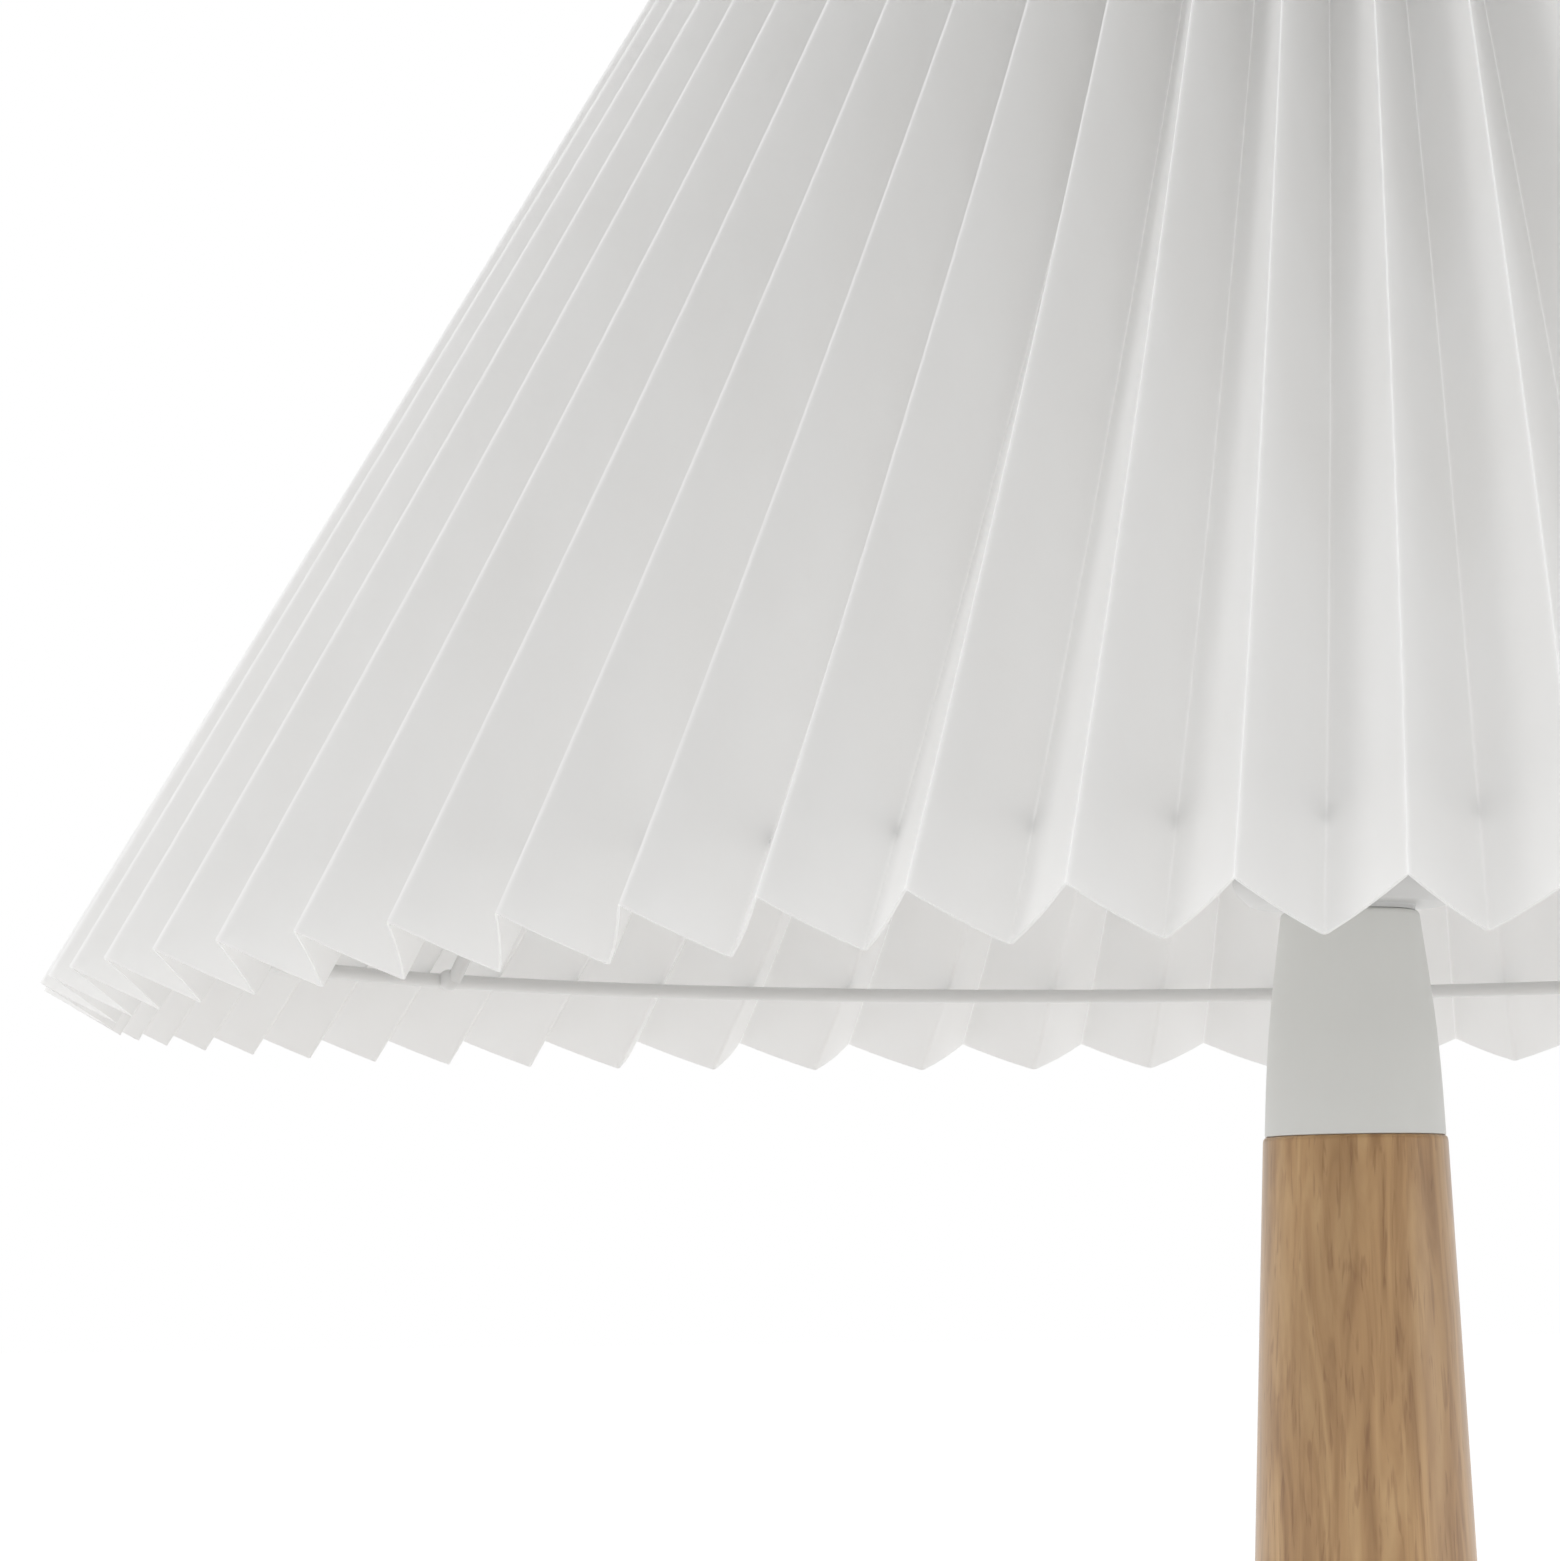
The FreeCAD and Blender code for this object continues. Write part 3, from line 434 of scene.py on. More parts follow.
# %% [markdown]
# ## Turned pieces
# Most of the lamp is turned: foot, stem, collar, lampholder and rings.  Spin could turn an
# outline, but it leaves a seam to be merged.  Here a circle is extruded from ring to ring and
# scaled to each radius, as a potter pulls up a wall.  Each corner of an outline is given as
# (radius, height, reach), where the reach is how far its rounding goes from the corner.

# %% Helpers for turned pieces
ROUND_STEPS = 6
SEGMENTS = 144


def rounded(corners, closed):
    """The outline's points, with each corner of (radius, height, reach) rounded off."""
    outline = []
    count = len(corners)
    for index, (radius, height, reach) in enumerate(corners):
        corner = Vector((radius, height))
        if reach == 0:
            outline.append(corner)
            continue
        before = Vector(corners[index - 1][:2])
        after = Vector(corners[(index + 1) % count][:2])
        start = corner + (before - corner).normalized() * reach
        end = corner + (after - corner).normalized() * reach
        for step in range(ROUND_STEPS + 1):
            share = step / ROUND_STEPS
            outline.append(start.lerp(corner, share).lerp(corner.lerp(end, share), share))
    return outline + outline[:1] if closed else outline


def select_only(piece, *others):
    """Selects these pieces and nothing else.  The first one becomes active."""
    bpy.ops.object.select_all(action="DESELECT")
    for chosen in (piece, *others):
        chosen.select_set(True)
    bpy.context.view_layer.objects.active = piece


def begin(name):
    """Names the new primitive and opens it in edit mode with all of it selected."""
    piece = bpy.context.object
    piece.name = name
    piece.data.name = name
    bpy.ops.object.mode_set(mode="EDIT")
    bpy.ops.mesh.select_all(action="SELECT")
    return piece


def turn_piece(name, corners, closed=True, segments=SEGMENTS):
    """Pulls a circle along an outline.  An open outline gets a flat end at both its ends."""
    outline = rounded(corners, closed)
    bpy.ops.object.select_all(action="DESELECT")
    radius, height = outline[0]
    bpy.ops.mesh.primitive_circle_add(vertices=segments, radius=radius)
    piece = begin(name)
    bpy.ops.transform.translate(value=(0, 0, height))
    if not closed:
        bpy.ops.mesh.edge_face_add()
    for next_radius, next_height in outline[1:]:
        bpy.ops.mesh.extrude_region_move(
            TRANSFORM_OT_translate={"value": (0, 0, next_height - height)})
        bpy.ops.transform.resize(value=(next_radius / radius, next_radius / radius, 1),
                                 center_override=(0, 0, next_height))
        radius, height = next_radius, next_height
    bpy.ops.mesh.select_all(action="SELECT")
    bpy.ops.mesh.remove_doubles(threshold=1e-6)
    bpy.ops.mesh.normals_make_consistent(inside=False)
    bpy.ops.object.mode_set(mode="OBJECT")
    return piece


def finish_piece(piece, material, body, slot, *nodes, angle=35):
    """Smooth shading up to an angle, the finish, the body, and the nodes it stands for."""
    select_only(piece)
    bpy.ops.object.shade_smooth_by_angle(angle=math.radians(angle))
    piece.data.materials.clear()
    piece.data.materials.append(material)
    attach(piece, body)
    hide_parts(*nodes)
    print(piece.name, len(piece.data.polygons), "faces")


def heights(node):
    """The lowest and the highest point of a CAD node."""
    low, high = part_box(node)
    return low.z, high.z


def reach_of(node):
    """The largest radius of a CAD node round the lamp's axis."""
    low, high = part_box(node)
    return (high.x - low.x) / 2


# %% [markdown]
# ## Foot and stem
# The foot is a wooden disc with a generous round at its upper edge and a small one below, over
# a felt pad that is set in a little.  It is hollow underneath for the ballast, and both foot
# and stem are bored for the rod.  The stem's upper edge is eased, which leaves the fine dark
# joint under the collar.  The way for the cord's bush runs in from the back.  Turning can't
# make that hole, so a cylinder is taken away with a Boolean modifier.

# %% Foot, felt pad and stem
FOOT_ROUND = 0.0095
FOOT_EASE = 0.0018
FELT_EASE = 0.0007
RECESS_RADIUS = 0.062
RECESS_DEPTH = 0.013
RECESS_CORNER = 0.001
RECESS_EDGE = 0.0005
ROD_BORE = 0.0054
BUSH_BORE = 0.0044
STEM_TOP_RADIUS = 0.0159
STEM_EASE = 0.0010
STEM_FOOT_EASE = 0.0004
DRILL_SIDES = 48

pad_low, pad_high = heights("felt_pad")
pad_radius = reach_of("felt_pad")
foot_low, foot_high = heights("base_disc")
recess_roof = foot_low + RECESS_DEPTH
foot_radius = reach_of("base_disc")
stem_radius = reach_of("stem")
collar_low, collar_high = heights("collar")
bush_level = sum(heights("cord_bush")) / 2


def bore_foot(foot):
    """Drills the way for the bush from the back of the foot into its hollow."""
    bpy.ops.object.select_all(action="DESELECT")
    bpy.ops.mesh.primitive_cylinder_add(
        vertices=DRILL_SIDES, radius=BUSH_BORE, depth=foot_radius,
        location=(0, foot_radius, bush_level), rotation=(math.pi / 2, 0, 0))
    drill = bpy.context.object
    cut = foot.modifiers.new("bush_bore", "BOOLEAN")
    cut.object = drill
    cut.operation = "DIFFERENCE"
    bpy.context.view_layer.objects.active = foot
    bpy.ops.object.modifier_apply(modifier=cut.name)
    bpy.data.objects.remove(drill)


pad = turn_piece("felt_pad_piece", [
    (pad_radius - 0.001, pad_low, 0), (pad_radius, pad_low, FELT_EASE),
    (pad_radius, pad_high, 0)], closed=False)
finish_piece(pad, felt, "stand", "felt", "felt_pad")

foot = turn_piece("turned_foot", [
    (ROD_BORE, recess_roof, 0), (RECESS_RADIUS, recess_roof, RECESS_CORNER),
    (RECESS_RADIUS, foot_low, RECESS_EDGE), (foot_radius, foot_low, FOOT_EASE),
    (foot_radius, foot_high, FOOT_ROUND), (ROD_BORE, foot_high, 0)])
bore_foot(foot)
finish_piece(foot, foot_wood, "stand", "wood", "base_disc")

stem = turn_piece("tapered_stem", [
    (ROD_BORE, foot_high, 0), (stem_radius, foot_high, STEM_FOOT_EASE),
    (STEM_TOP_RADIUS, collar_low, STEM_EASE), (ROD_BORE, collar_low, 0)])
finish_piece(stem, stem_wood, "stand", "wood", "stem")

# %% [markdown]
# ## Collar
# The collar continues the stem's line and then narrows in two soft stages, which only a long
# rounding at each of its two upper corners gives.  Its rim is rounded over into a flat lid
# with a hole for the rod, and it is hollow inside.

# %% Collar
COLLAR_FOOT_RADIUS = 0.0156
COLLAR_FULL = (0.0150, 0.026, 0.0070)
COLLAR_WAIST = (0.0139, 0.015, 0.0065)
COLLAR_RIM_RADIUS = 0.0119
COLLAR_RIM_ROUND = 0.0009
COLLAR_FOOT_EASE = 0.0003
COLLAR_WALL = 0.0016
COLLAR_LID = 0.0026
LID_CORNER = 0.0005


def below_rim(radius, drop, reach):
    """A corner of the collar, given by how far it lies below the rim."""
    return radius, collar_high - drop, reach


lid_under = collar_high - COLLAR_LID
collar = turn_piece("spun_collar", [
    (COLLAR_FOOT_RADIUS, collar_low, COLLAR_FOOT_EASE), below_rim(*COLLAR_FULL),
    below_rim(*COLLAR_WAIST), (COLLAR_RIM_RADIUS, collar_high, COLLAR_RIM_ROUND),
    (ROD_BORE, collar_high, 0), (ROD_BORE, lid_under, 0),
    (COLLAR_RIM_RADIUS - COLLAR_WALL, lid_under, LID_CORNER),
    (COLLAR_FOOT_RADIUS - COLLAR_WALL, collar_low, 0)])
finish_piece(collar, collar_coat, "stand", "white_metal", "collar", angle=50)

# %% [markdown]
# ## Lampholder
# The lampholder is a moulded cup with a threaded skirt on it.  A low boss under the cup stands
# on the collar's lid, round the washer.  The thread is a real helix: the skirt's rings are
# pushed in by a wave that climbs one pitch in each turn.

# %% Lampholder
CUP_RADIUS = reach_of("lampholder_cap")
SKIRT_RADIUS = reach_of("lampholder_shell")
SKIRT_WALL = 0.0020
SKIRT_EDGE = 0.0006
MOUTH_RADIUS = 0.0152
MOUTH_LIP = 0.0020
BOSS_RADIUS = 0.0113
BOSS_HOLE = 0.0083
CUP_BORE = 0.0051
CUP_WALL = 0.0020
CUP_FLOOR = 0.0030
CUP_CHAMFER = 0.0030
SKIRT_RINGS = 100
SKIRT_PITCH = 0.0030
SKIRT_THREAD = 0.0008
SKIRT_RUNOUT = 0.002
cup_low, cup_high = heights("lampholder_cap")
boss_low = collar_high + 0.00005
skirt_high = heights("lampholder_shell")[1]


def add_thread(piece, low, high, pitch, depth, inner, runout):
    """Moves what lies outside the inner radius in by a wave that climbs as it goes round.

    The thread is full between two heights, and fades in and out over its runout."""
    for vertex in piece.data.vertices:
        radius = math.hypot(vertex.co.x, vertex.co.y)
        if radius < inner or not low < vertex.co.z < high:
            continue
        fade = min(1.0, (vertex.co.z - low) / runout, (high - vertex.co.z) / runout)
        turn = math.atan2(vertex.co.y, vertex.co.x)
        wave = 0.5 - 0.5 * math.cos(2 * math.pi * vertex.co.z / pitch - turn)
        share = 1 - fade * depth * wave / radius
        vertex.co.x *= share
        vertex.co.y *= share


def wall_rings(radius, low, high, count):
    """Evenly spaced rings on a wall, ready for a thread."""
    return [(radius, low + (high - low) * ring / count, 0) for ring in range(count + 1)]


cup_floor = cup_low + CUP_FLOOR
cup = turn_piece("lampholder_cup", [
    (CUP_BORE, cup_low, 0), (BOSS_HOLE, cup_low, 0), (BOSS_HOLE, boss_low, 0),
    (BOSS_RADIUS, boss_low, 0.0002), (BOSS_RADIUS, cup_low, 0.0003),
    (CUP_RADIUS - CUP_CHAMFER, cup_low, 0.0008), (CUP_RADIUS, cup_low + CUP_CHAMFER, 0.0018),
    (CUP_RADIUS, cup_high, 0.0005), (CUP_RADIUS - CUP_WALL, cup_high, 0),
    (CUP_RADIUS - CUP_WALL, cup_floor + CUP_WALL, 0.001),
    (CUP_RADIUS - CUP_WALL - CUP_CHAMFER, cup_floor, 0), (CUP_BORE, cup_floor, 0)])
finish_piece(cup, white_plastic, "stand", "white_plastic", "lampholder_cap")

skirt = turn_piece("lampholder_skirt", [
    (SKIRT_RADIUS - SKIRT_WALL, cup_high, 0),
    *wall_rings(SKIRT_RADIUS, cup_high, skirt_high - SKIRT_EDGE, SKIRT_RINGS),
    (SKIRT_RADIUS - SKIRT_EDGE, skirt_high, 0), (MOUTH_RADIUS, skirt_high, 0.0005),
    (MOUTH_RADIUS, skirt_high - MOUTH_LIP, 0),
    (SKIRT_RADIUS - SKIRT_WALL, skirt_high - MOUTH_LIP, 0)])
add_thread(skirt, cup_high + SKIRT_RUNOUT, skirt_high - 0.001, SKIRT_PITCH, SKIRT_THREAD,
           MOUTH_RADIUS + 0.003, SKIRT_RUNOUT)
finish_piece(skirt, white_plastic, "stand", "white_plastic", "lampholder_shell", angle=60)

# %% [markdown]
# ## Clamp rings
# Two moulded rings hold the shade's fitter between them.  Fingers turn them by a row of low
# ribs.  Separate ribs could be copied round, but here every second face of the sleeve is
# drawn outwards, so that ribs and ring stay one moulding.

# %% Clamp rings
CLAMP_RADIUS = reach_of("seat_ring")
CLAMP_FLANGE = 0.0024
SLEEVE_RADIUS = 0.0225
BORE_RADIUS = 0.0195
RIB_SEGMENTS = 120
RIB_HEIGHT = 0.0006
RIB_END = 0.0006


def add_ribs(piece, radius, low, high):
    """Draws out every second face of the wall that stands at a radius between two heights."""
    for face in piece.data.polygons:
        middle = face.center
        outward = face.normal.x * middle.x + face.normal.y * middle.y > 0
        near = abs(math.hypot(middle.x, middle.y) - radius) < 0.0002
        sector = round(math.atan2(middle.y, middle.x) * RIB_SEGMENTS / (2 * math.pi) - 0.5)
        face.select = outward and near and low < middle.z < high and sector % 2 == 0
    bpy.ops.object.mode_set(mode="EDIT")
    bpy.ops.mesh.select_mode(type="FACE")
    bpy.ops.mesh.extrude_faces_move(TRANSFORM_OT_shrink_fatten={"value": RIB_HEIGHT})
    bpy.ops.mesh.select_mode(type="VERT")
    bpy.ops.object.mode_set(mode="OBJECT")


def make_clamp_ring(name, node, body, flange_up):
    """A ribbed sleeve with a flange on the side where it meets the fitter."""
    low, high = heights(node)
    flange, end = (high, low) if flange_up else (low, high)
    step = -CLAMP_FLANGE if flange_up else CLAMP_FLANGE
    ring = turn_piece(name, [
        (BORE_RADIUS, end, 0), (SLEEVE_RADIUS, end, 0.0005), (SLEEVE_RADIUS, flange + step, 0),
        (CLAMP_RADIUS, flange + step, 0.0006), (CLAMP_RADIUS, flange, 0.0006),
        (BORE_RADIUS, flange, 0)], segments=RIB_SEGMENTS)
    select_only(ring)
    add_ribs(ring, SLEEVE_RADIUS, low + RIB_END, high - RIB_END)
    finish_piece(ring, white_plastic, body, "white_plastic", node)


make_clamp_ring("seat_ring_piece", "seat_ring", "stand", True)
make_clamp_ring("retaining_ring_piece", "retaining_ring", "retaining_ring", False)

# %% [markdown]
# ## Wire carrier
# The carrier is two rings of steel wire, three straight struts that join them, and three arms
# that run in from the struts to the fitter ring.  All are dipped in white after welding, so
# each joint is a smooth bead.  The rings are tori, and a bent wire is a curve with a round
# bevel that is made a mesh, because a curve keeps the same section through its bends.

# %% Wire carrier
WIRE_RADIUS = 0.0014
WIRE_SIDES = 20
BEAD_RADIUS = 0.0021
BUTT_WELD = (1.6, 0.80, 0.80)
RING_SEGMENTS = 348
FITTER_RADIUS = reach_of("fitter_ring")
FITTER_HOLE = 0.021
fitter_low, fitter_high = heights("fitter_ring")

fitter = turn_piece("fitter_ring_piece", [
    (FITTER_HOLE, fitter_low, 0.0004), (FITTER_RADIUS, fitter_low, 0.0007),
    (FITTER_RADIUS, fitter_high, 0.0007), (FITTER_HOLE, fitter_high, 0.0004)])
finish_piece(fitter, wire_coat, "shade", "white_wire", "fitter_ring")


def join_to(piece, *parts):
    """Makes the parts one mesh with the piece."""
    select_only(piece, *parts)
    bpy.ops.object.join()


def add_bead(place, stretch=(1, 1, 1)):
    """A weld bead: a small ball, drawn out along the wires that it joins."""
    bpy.ops.object.select_all(action="DESELECT")
    bpy.ops.mesh.primitive_uv_sphere_add(segments=24, ring_count=14, radius=BEAD_RADIUS)
    bead = begin("bead")
    bpy.ops.transform.resize(value=stretch)
    bpy.ops.transform.translate(value=place)
    bpy.ops.object.mode_set(mode="OBJECT")
    return bead


def make_ring(name, node):
    """A ring of wire with the butt weld that closes it at the back."""
    low, high = heights(node)
    radius = reach_of(node) - WIRE_RADIUS
    level = (low + high) / 2
    bpy.ops.object.select_all(action="DESELECT")
    bpy.ops.mesh.primitive_torus_add(major_radius=radius, minor_radius=WIRE_RADIUS,
                                     major_segments=RING_SEGMENTS, minor_segments=WIRE_SIDES)
    ring = begin(name)
    bpy.ops.transform.translate(value=(0, 0, level))
    bpy.ops.object.mode_set(mode="OBJECT")
    join_to(ring, add_bead((0, radius, level), BUTT_WELD))
    finish_piece(ring, wire_coat, "shade", "white_wire", node, angle=60)


make_ring("lower_wire_ring", "lower_ring")
make_ring("upper_wire_ring", "top_ring")


def bent_wire(name, points):
    """A wire with a round section and closed ends along the points."""
    bpy.ops.object.select_all(action="DESELECT")
    bpy.ops.curve.primitive_nurbs_path_add()
    wire = bpy.context.object
    wire.name = name
    line = wire.data
    line.splines.clear()
    line.dimensions = "3D"
    run = line.splines.new("POLY")
    run.points.add(len(points) - 1)
    for point, place in zip(run.points, points):
        point.co = (*place, 1)
    line.bevel_depth = WIRE_RADIUS
    line.bevel_resolution = WIRE_SIDES // 4 - 1
    line.use_fill_caps = True
    bpy.ops.object.convert(target="MESH")
    bpy.context.object.data.name = name
    return bpy.context.object


# %% Struts and arms
STRUTS = 3
FIRST_STRUT = math.radians(151.4)
ARM_FLAT = 0.008
ARM_BEND = 0.020
ARM_BEAD_STEP = 0.0018
BEND_STEPS = 8
ring_level = [sum(heights(node)) / 2 for node in ("lower_ring", "top_ring")]
ring_radius = [reach_of(node) - WIRE_RADIUS for node in ("lower_ring", "top_ring")]


def on_plane(turn, radius, height):
    """A point at a radius and a height in the upright plane at a turn from +X."""
    return Vector((radius * math.cos(turn), radius * math.sin(turn), height))


def strut_line():
    """The strut's lean, and its ends as (radius, height): it runs just inside both rings."""
    (low, high), (wide, narrow) = ring_level, ring_radius
    lean = math.atan2(wide - narrow, high - low)
    inset = 2 * WIRE_RADIUS / math.cos(lean)
    return lean, Vector((wide - inset, low)), Vector((narrow - inset, high))


def arm_outline():
    """The arm as (radius, height): flat off the fitter, one bend, then square to the strut."""
    lean, foot, _ = strut_line()
    level = (fitter_low + fitter_high) / 2
    start = FITTER_RADIUS - 0.002
    bend = FITTER_RADIUS + ARM_FLAT
    line = [Vector((start, level))]
    for step in range(BEND_STEPS + 1):
        turn = lean * step / BEND_STEPS
        line.append(Vector((bend + ARM_BEND * math.sin(turn),
                            level + ARM_BEND * (1 - math.cos(turn)))))
    along = Vector((math.cos(lean), math.sin(lean)))
    line.append(line[-1] + along * (foot - line[-1]).dot(along))
    return line


def make_strut_and_arm(number):
    """One upright wire with its beads at both rings, and the arm that meets it."""
    turn = FIRST_STRUT + (number - 1) * 2 * math.pi / STRUTS
    _, foot, top = strut_line()
    ends = [on_plane(turn, *foot), on_plane(turn, *top)]
    wire = bent_wire(f"side_wire_{number}", ends)
    beads = [add_bead(end + on_plane(turn, WIRE_RADIUS * 0.9, 0)) for end in ends]
    join_to(wire, *beads)
    finish_piece(wire, wire_coat, "shade", "white_wire", f"side_strut_{number}", angle=60)
    line = [on_plane(turn, *point) for point in arm_outline()]
    arm = bent_wire(f"arm_wire_{number}", line)
    join_to(arm, add_bead(line[0] + on_plane(turn, ARM_BEAD_STEP, 0)), add_bead(line[-1]))
    finish_piece(arm, wire_coat, "shade", "white_wire", f"spider_arm_{number}", angle=60)


for strut in range(1, STRUTS + 1):
    make_strut_and_arm(strut)

# %% [markdown]
# ## Bulb
# The bulb is a frosted lamp with a screw cap.  A ball and a cylinder would meet in a hard
# line, so its glass is one outline from the neck to the crown.  The cap's thread is rolled
# from sheet, so it has the rounded crests that the wave of add_thread gives.

# %% Bulb
GLASS_RADIUS = reach_of("bulb_glass")
NECK_RADIUS = 0.0126
NECK_LENGTH = 0.0085
NECK_ROUND = 0.006
NECK_IN_CAP = 0.002
SHOULDER_ANGLE = -35
CROWN_ANGLE = 88.5
CROWN_STEPS = 36
SCREW_PITCH = 0.0036
SCREW_DEPTH = 0.0009
SCREW_RINGS = 84
SCREW_INSIDE = 0.0110
SCREW_RUNOUT = 0.002
CAP_TIP_RADIUS = 0.0085
CAP_TIP_HEIGHT = 0.004
glass_high = heights("bulb_glass")[1]
cap_low, cap_high = heights("bulb_cap")
cap_radius = reach_of("bulb_cap")


def crown_points():
    """The globe's outline from its shoulder up to its crown."""
    centre = glass_high - GLASS_RADIUS
    points = []
    for step in range(CROWN_STEPS + 1):
        share = step / CROWN_STEPS
        turn = math.radians(SHOULDER_ANGLE + (CROWN_ANGLE - SHOULDER_ANGLE) * share)
        points.append((GLASS_RADIUS * math.cos(turn), centre + GLASS_RADIUS * math.sin(turn), 0))
    return points


glass = turn_piece("bulb_glass_piece", [
    (NECK_RADIUS, cap_high - NECK_IN_CAP, 0), (NECK_RADIUS, cap_high + NECK_LENGTH, NECK_ROUND),
    *crown_points()], closed=False)
finish_piece(glass, opal_glass, "bulb", "opal_glass", "bulb_glass", angle=60)

cap = turn_piece("bulb_screw_cap", [
    (CAP_TIP_RADIUS, cap_low, 0),
    *wall_rings(cap_radius, cap_low + CAP_TIP_HEIGHT, cap_high, SCREW_RINGS),
    (cap_radius - 0.0005, cap_high, 0)], closed=False)
add_thread(cap, cap_low + CAP_TIP_HEIGHT - 0.0005, cap_high - SCREW_RUNOUT, SCREW_PITCH,
           SCREW_DEPTH, SCREW_INSIDE, SCREW_RUNOUT)
finish_piece(cap, nickel, "bulb", "steel", "bulb_cap", angle=60)

# %% [markdown]
# ## The pleated shade
# The shade is one long strip of stiff paper, folded to and fro and closed into a ring.  It
# could be a cone with a zigzag cut into it, but a real pleat keeps its panels equally wide
# from the rim to the top, and only the folds come closer together.  So a flat grid is laid
# out as the strip, and each of its points is moved to where the folded paper carries it.
# A fold is never quite a line: the sheet goes round it on a small curve.  The outer folds are
# pressed sharp, the inner ones are softer, and each panel sags a little between them.

# %% Sizes of the folded paper
PLEATS = 58
PANEL_WIDTH = 0.0175
RIM_RADIUS = 0.225
TOP_RADIUS = 0.080
SHADE_HEIGHT = 0.2365
PAPER_THICKNESS = 0.00038
FOLD_ROUND = 0.0005
RIDGE_ROUND = 0.0008
RIDGE_EASE = 0.00022
PANEL_SAG = 0.00055
STEPS_PER_PLEAT = 16
FOLD_STEPS = 3
ROWS = 24
FIRST_RIDGE = 0.1447
# How far the folds are gathered round the rim and round the top: two slow waves at each.
GATHER_FOOT = (-0.0955, -0.1016, 0.0071, 0.0019)
GATHER_TOP = (0.0311, -0.0575, -0.0771, -0.0108)
GATHER_TOP_HEIGHT = 0.225


def gathered(azimuth, waves):
    """An even azimuth moved along the rim as the hand-set pleats are."""
    return (azimuth + waves[0] * math.sin(azimuth) + waves[1] * math.cos(azimuth)
            + waves[2] * math.sin(2 * azimuth) + waves[3] * math.cos(2 * azimuth))


def fold_azimuth(fold, height):
    """Where a fold stands at a height over the rim.  Even folds are ridges."""
    even = FIRST_RIDGE + fold * math.pi / PLEATS
    share = height / GATHER_TOP_HEIGHT
    return (1 - share) * gathered(even, GATHER_FOOT) + share * gathered(even, GATHER_TOP)


def around_stem(azimuth, radius, height):
    """Azimuth 0 is towards the camera and grows to the right."""
    return Vector((radius * math.sin(azimuth), -radius * math.cos(azimuth), RIM + height))


SLOPE = (RIM_RADIUS - TOP_RADIUS) / SHADE_HEIGHT


def ridge_point(fold, share):
    """The outer fold: a straight line up the slope of the shade."""
    height = share * SHADE_HEIGHT
    return around_stem(fold_azimuth(fold, height), RIM_RADIUS - SLOPE * height, height)


def valley_point(fold, share):
    """The inner fold: a panel's width from both its ridges, square to the slope."""
    before, after = ridge_point(fold - 1, share), ridge_point(fold + 1, share)
    middle = (before + after) / 2
    azimuth = math.atan2(middle.x, -middle.y)
    inward = Vector((-math.sin(azimuth), math.cos(azimuth), -SLOPE)).normalized()
    half_gap = (after - before).length / 2
    return middle + inward * math.sqrt(PANEL_WIDTH ** 2 - half_gap ** 2)


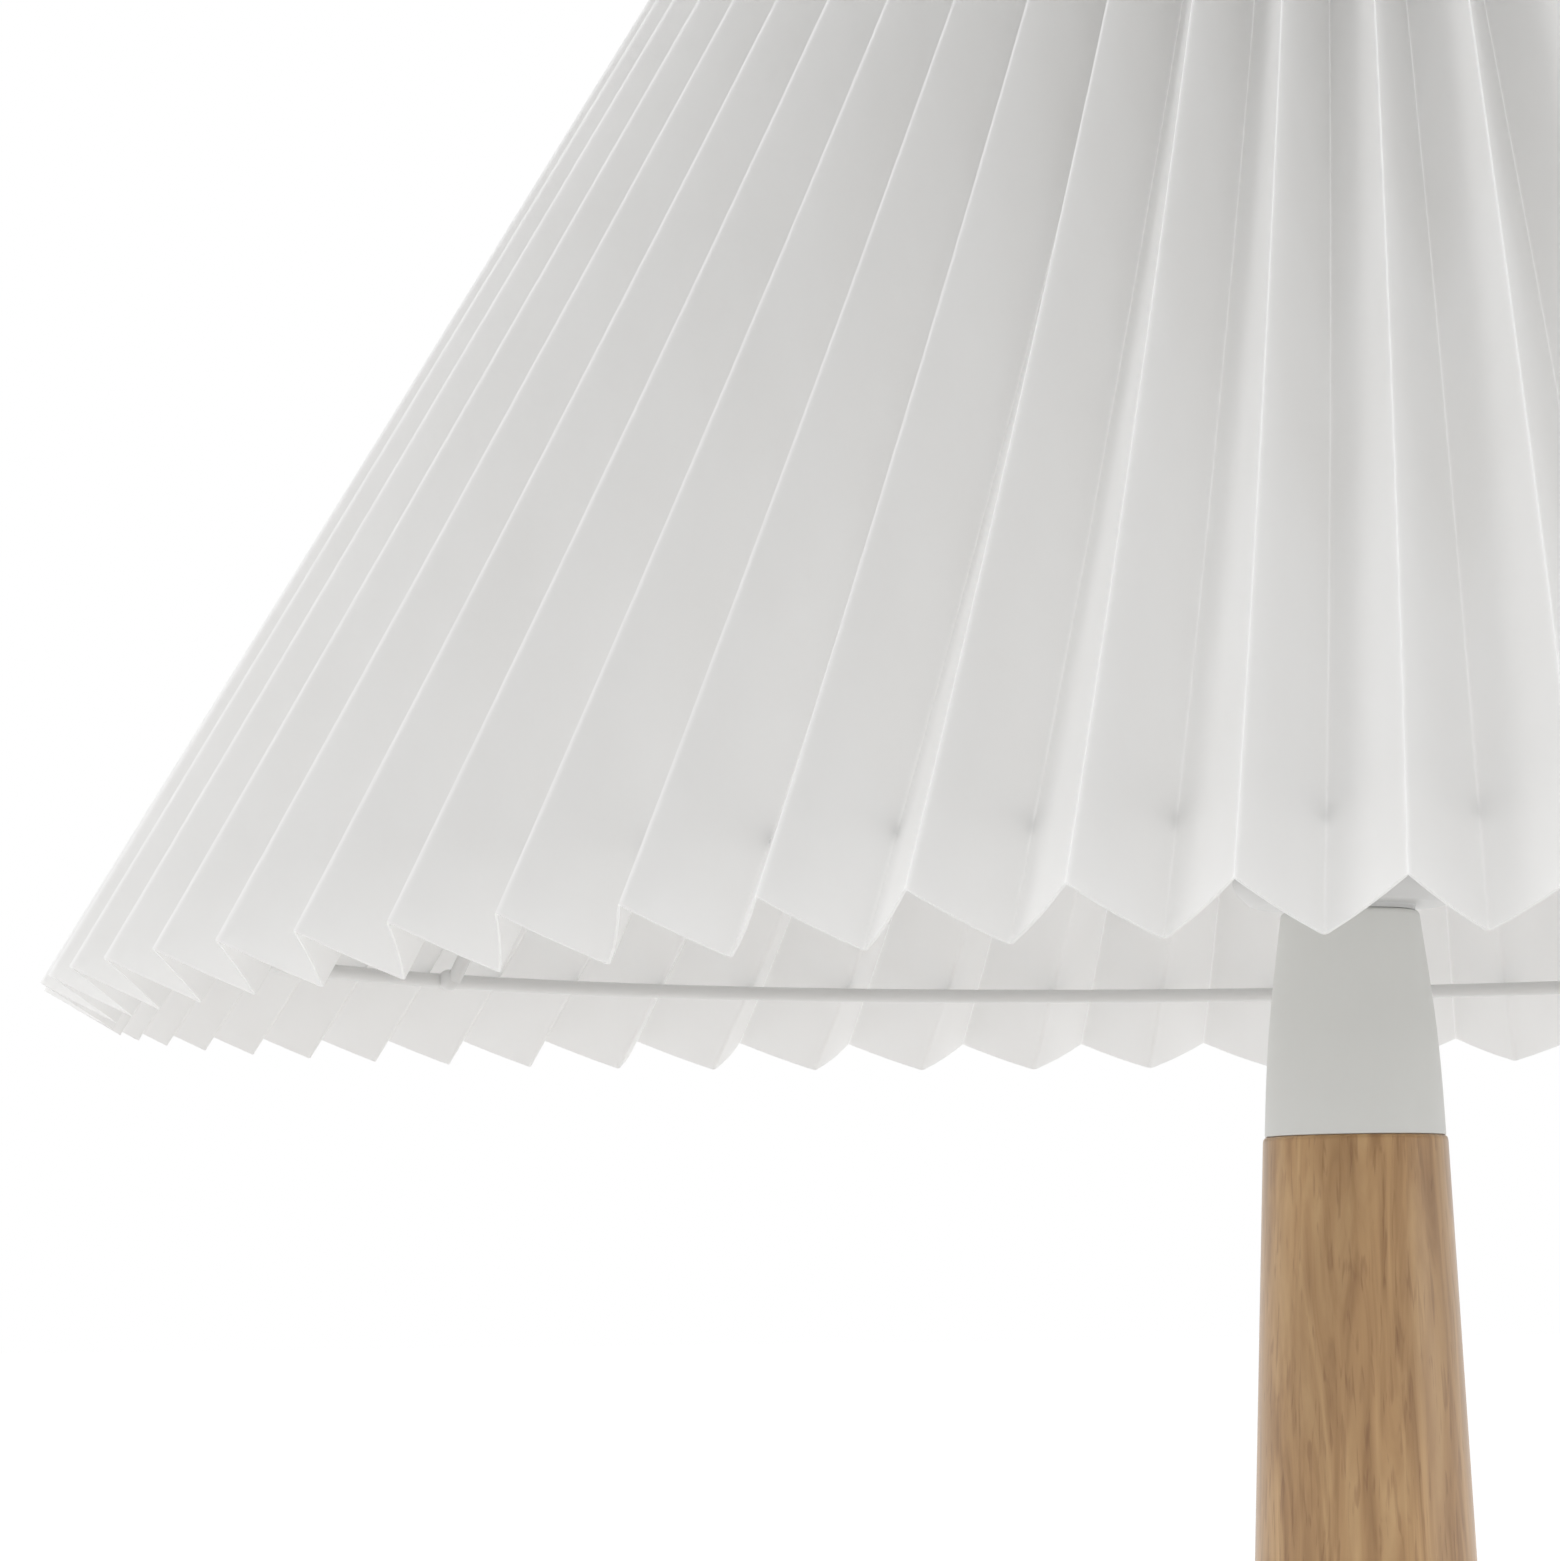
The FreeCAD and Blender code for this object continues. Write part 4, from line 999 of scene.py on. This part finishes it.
def paper_point(step, share):
    """The point of the folded paper at a step along the strip and a share of its height."""
    pleat, place = divmod(step, STEPS_PER_PLEAT)
    half = STEPS_PER_PLEAT // 2
    ridge = ridge_point(2 * pleat + (2 if place > half else 0), share)
    other = ridge_point(2 * pleat + (0 if place > half else 2), share)
    valley = valley_point(2 * pleat + 1, share)
    inward = (valley - (ridge + other) / 2).normalized()
    place = min(place, STEPS_PER_PLEAT - place)
    flat = 1 - FOLD_ROUND / PANEL_WIDTH
    flat_steps = half - FOLD_STEPS
    if place == 0:
        return ridge + inward * RIDGE_EASE
    if place <= flat_steps:
        along = RIDGE_ROUND / PANEL_WIDTH
        along += (flat - along) * (place - 1) / (flat_steps - 1)
        return ridge.lerp(valley, along) + inward * PANEL_SAG * math.sin(math.pi * along)
    turn = (place - flat_steps) / (2 * FOLD_STEPS)
    start, end = ridge.lerp(valley, flat), other.lerp(valley, flat)
    sag = PANEL_SAG * math.sin(math.pi * flat) * (1 - 2 * turn)
    return ((1 - turn) ** 2 * start + 2 * turn * (1 - turn) * valley + turn ** 2 * end
            + inward * sag)


def make_shade():
    """Folds the strip, closes it into a ring and gives it the paper's thickness."""
    bpy.ops.object.select_all(action="DESELECT")
    steps = PLEATS * STEPS_PER_PLEAT
    bpy.ops.mesh.primitive_grid_add(x_subdivisions=steps, y_subdivisions=ROWS, size=2)
    shade = bpy.context.object
    shade.name = shade.data.name = "pleated_paper"
    # Marks the outer folds, where the paper's colour gets its painted highlight.
    painted_ridge_highlight = shade.data.attributes.new("painted_ridge_highlight", "FLOAT", "POINT")
    for vertex in shade.data.vertices:
        step = round((vertex.co.x + 1) / 2 * steps)
        painted_ridge_highlight.data[vertex.index].value = step % STEPS_PER_PLEAT == 0
        vertex.co = paper_point(step, (vertex.co.y + 1) / 2)
    bpy.ops.object.mode_set(mode="EDIT")
    bpy.ops.mesh.select_all(action="SELECT")
    bpy.ops.mesh.remove_doubles(threshold=1e-5)
    bpy.ops.mesh.normals_make_consistent(inside=False)
    bpy.ops.object.mode_set(mode="OBJECT")
    wall = shade.modifiers.new("paper_thickness", "SOLIDIFY")
    wall.thickness = PAPER_THICKNESS
    wall.offset = -1
    bpy.ops.object.modifier_apply(modifier=wall.name)
    finish_piece(shade, paper, "shade", "paper", "pleated_shade", angle=25)


make_shade()

# %% [markdown]
# ## The small pieces that keep their packed form
# Rod, nut, washers, ballast, screws and contacts are simple turned parts that are hidden or
# nearly so.  Their packed form is true to size, so they only get their finish.

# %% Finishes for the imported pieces
FINISHES = {
    zinc_steel: ("ballast_plate", "ballast_screws", "rod_nut", "rod_washer", "threaded_rod",
                 "holder_washer", "bulb_contact"),
    white_plastic: ("cord_bush",),
    ceramic: ("lampholder_insulator",),
    brass: ("terminal_screws", "screw_sleeve", "centre_contact"),
    dark_glass: ("bulb_insulator",),
}

for finish, names in FINISHES.items():
    for name in names:
        node = bpy.data.objects[name]
        node.data.materials.clear()
        node.data.materials.append(finish)
        print(name, finish.name)
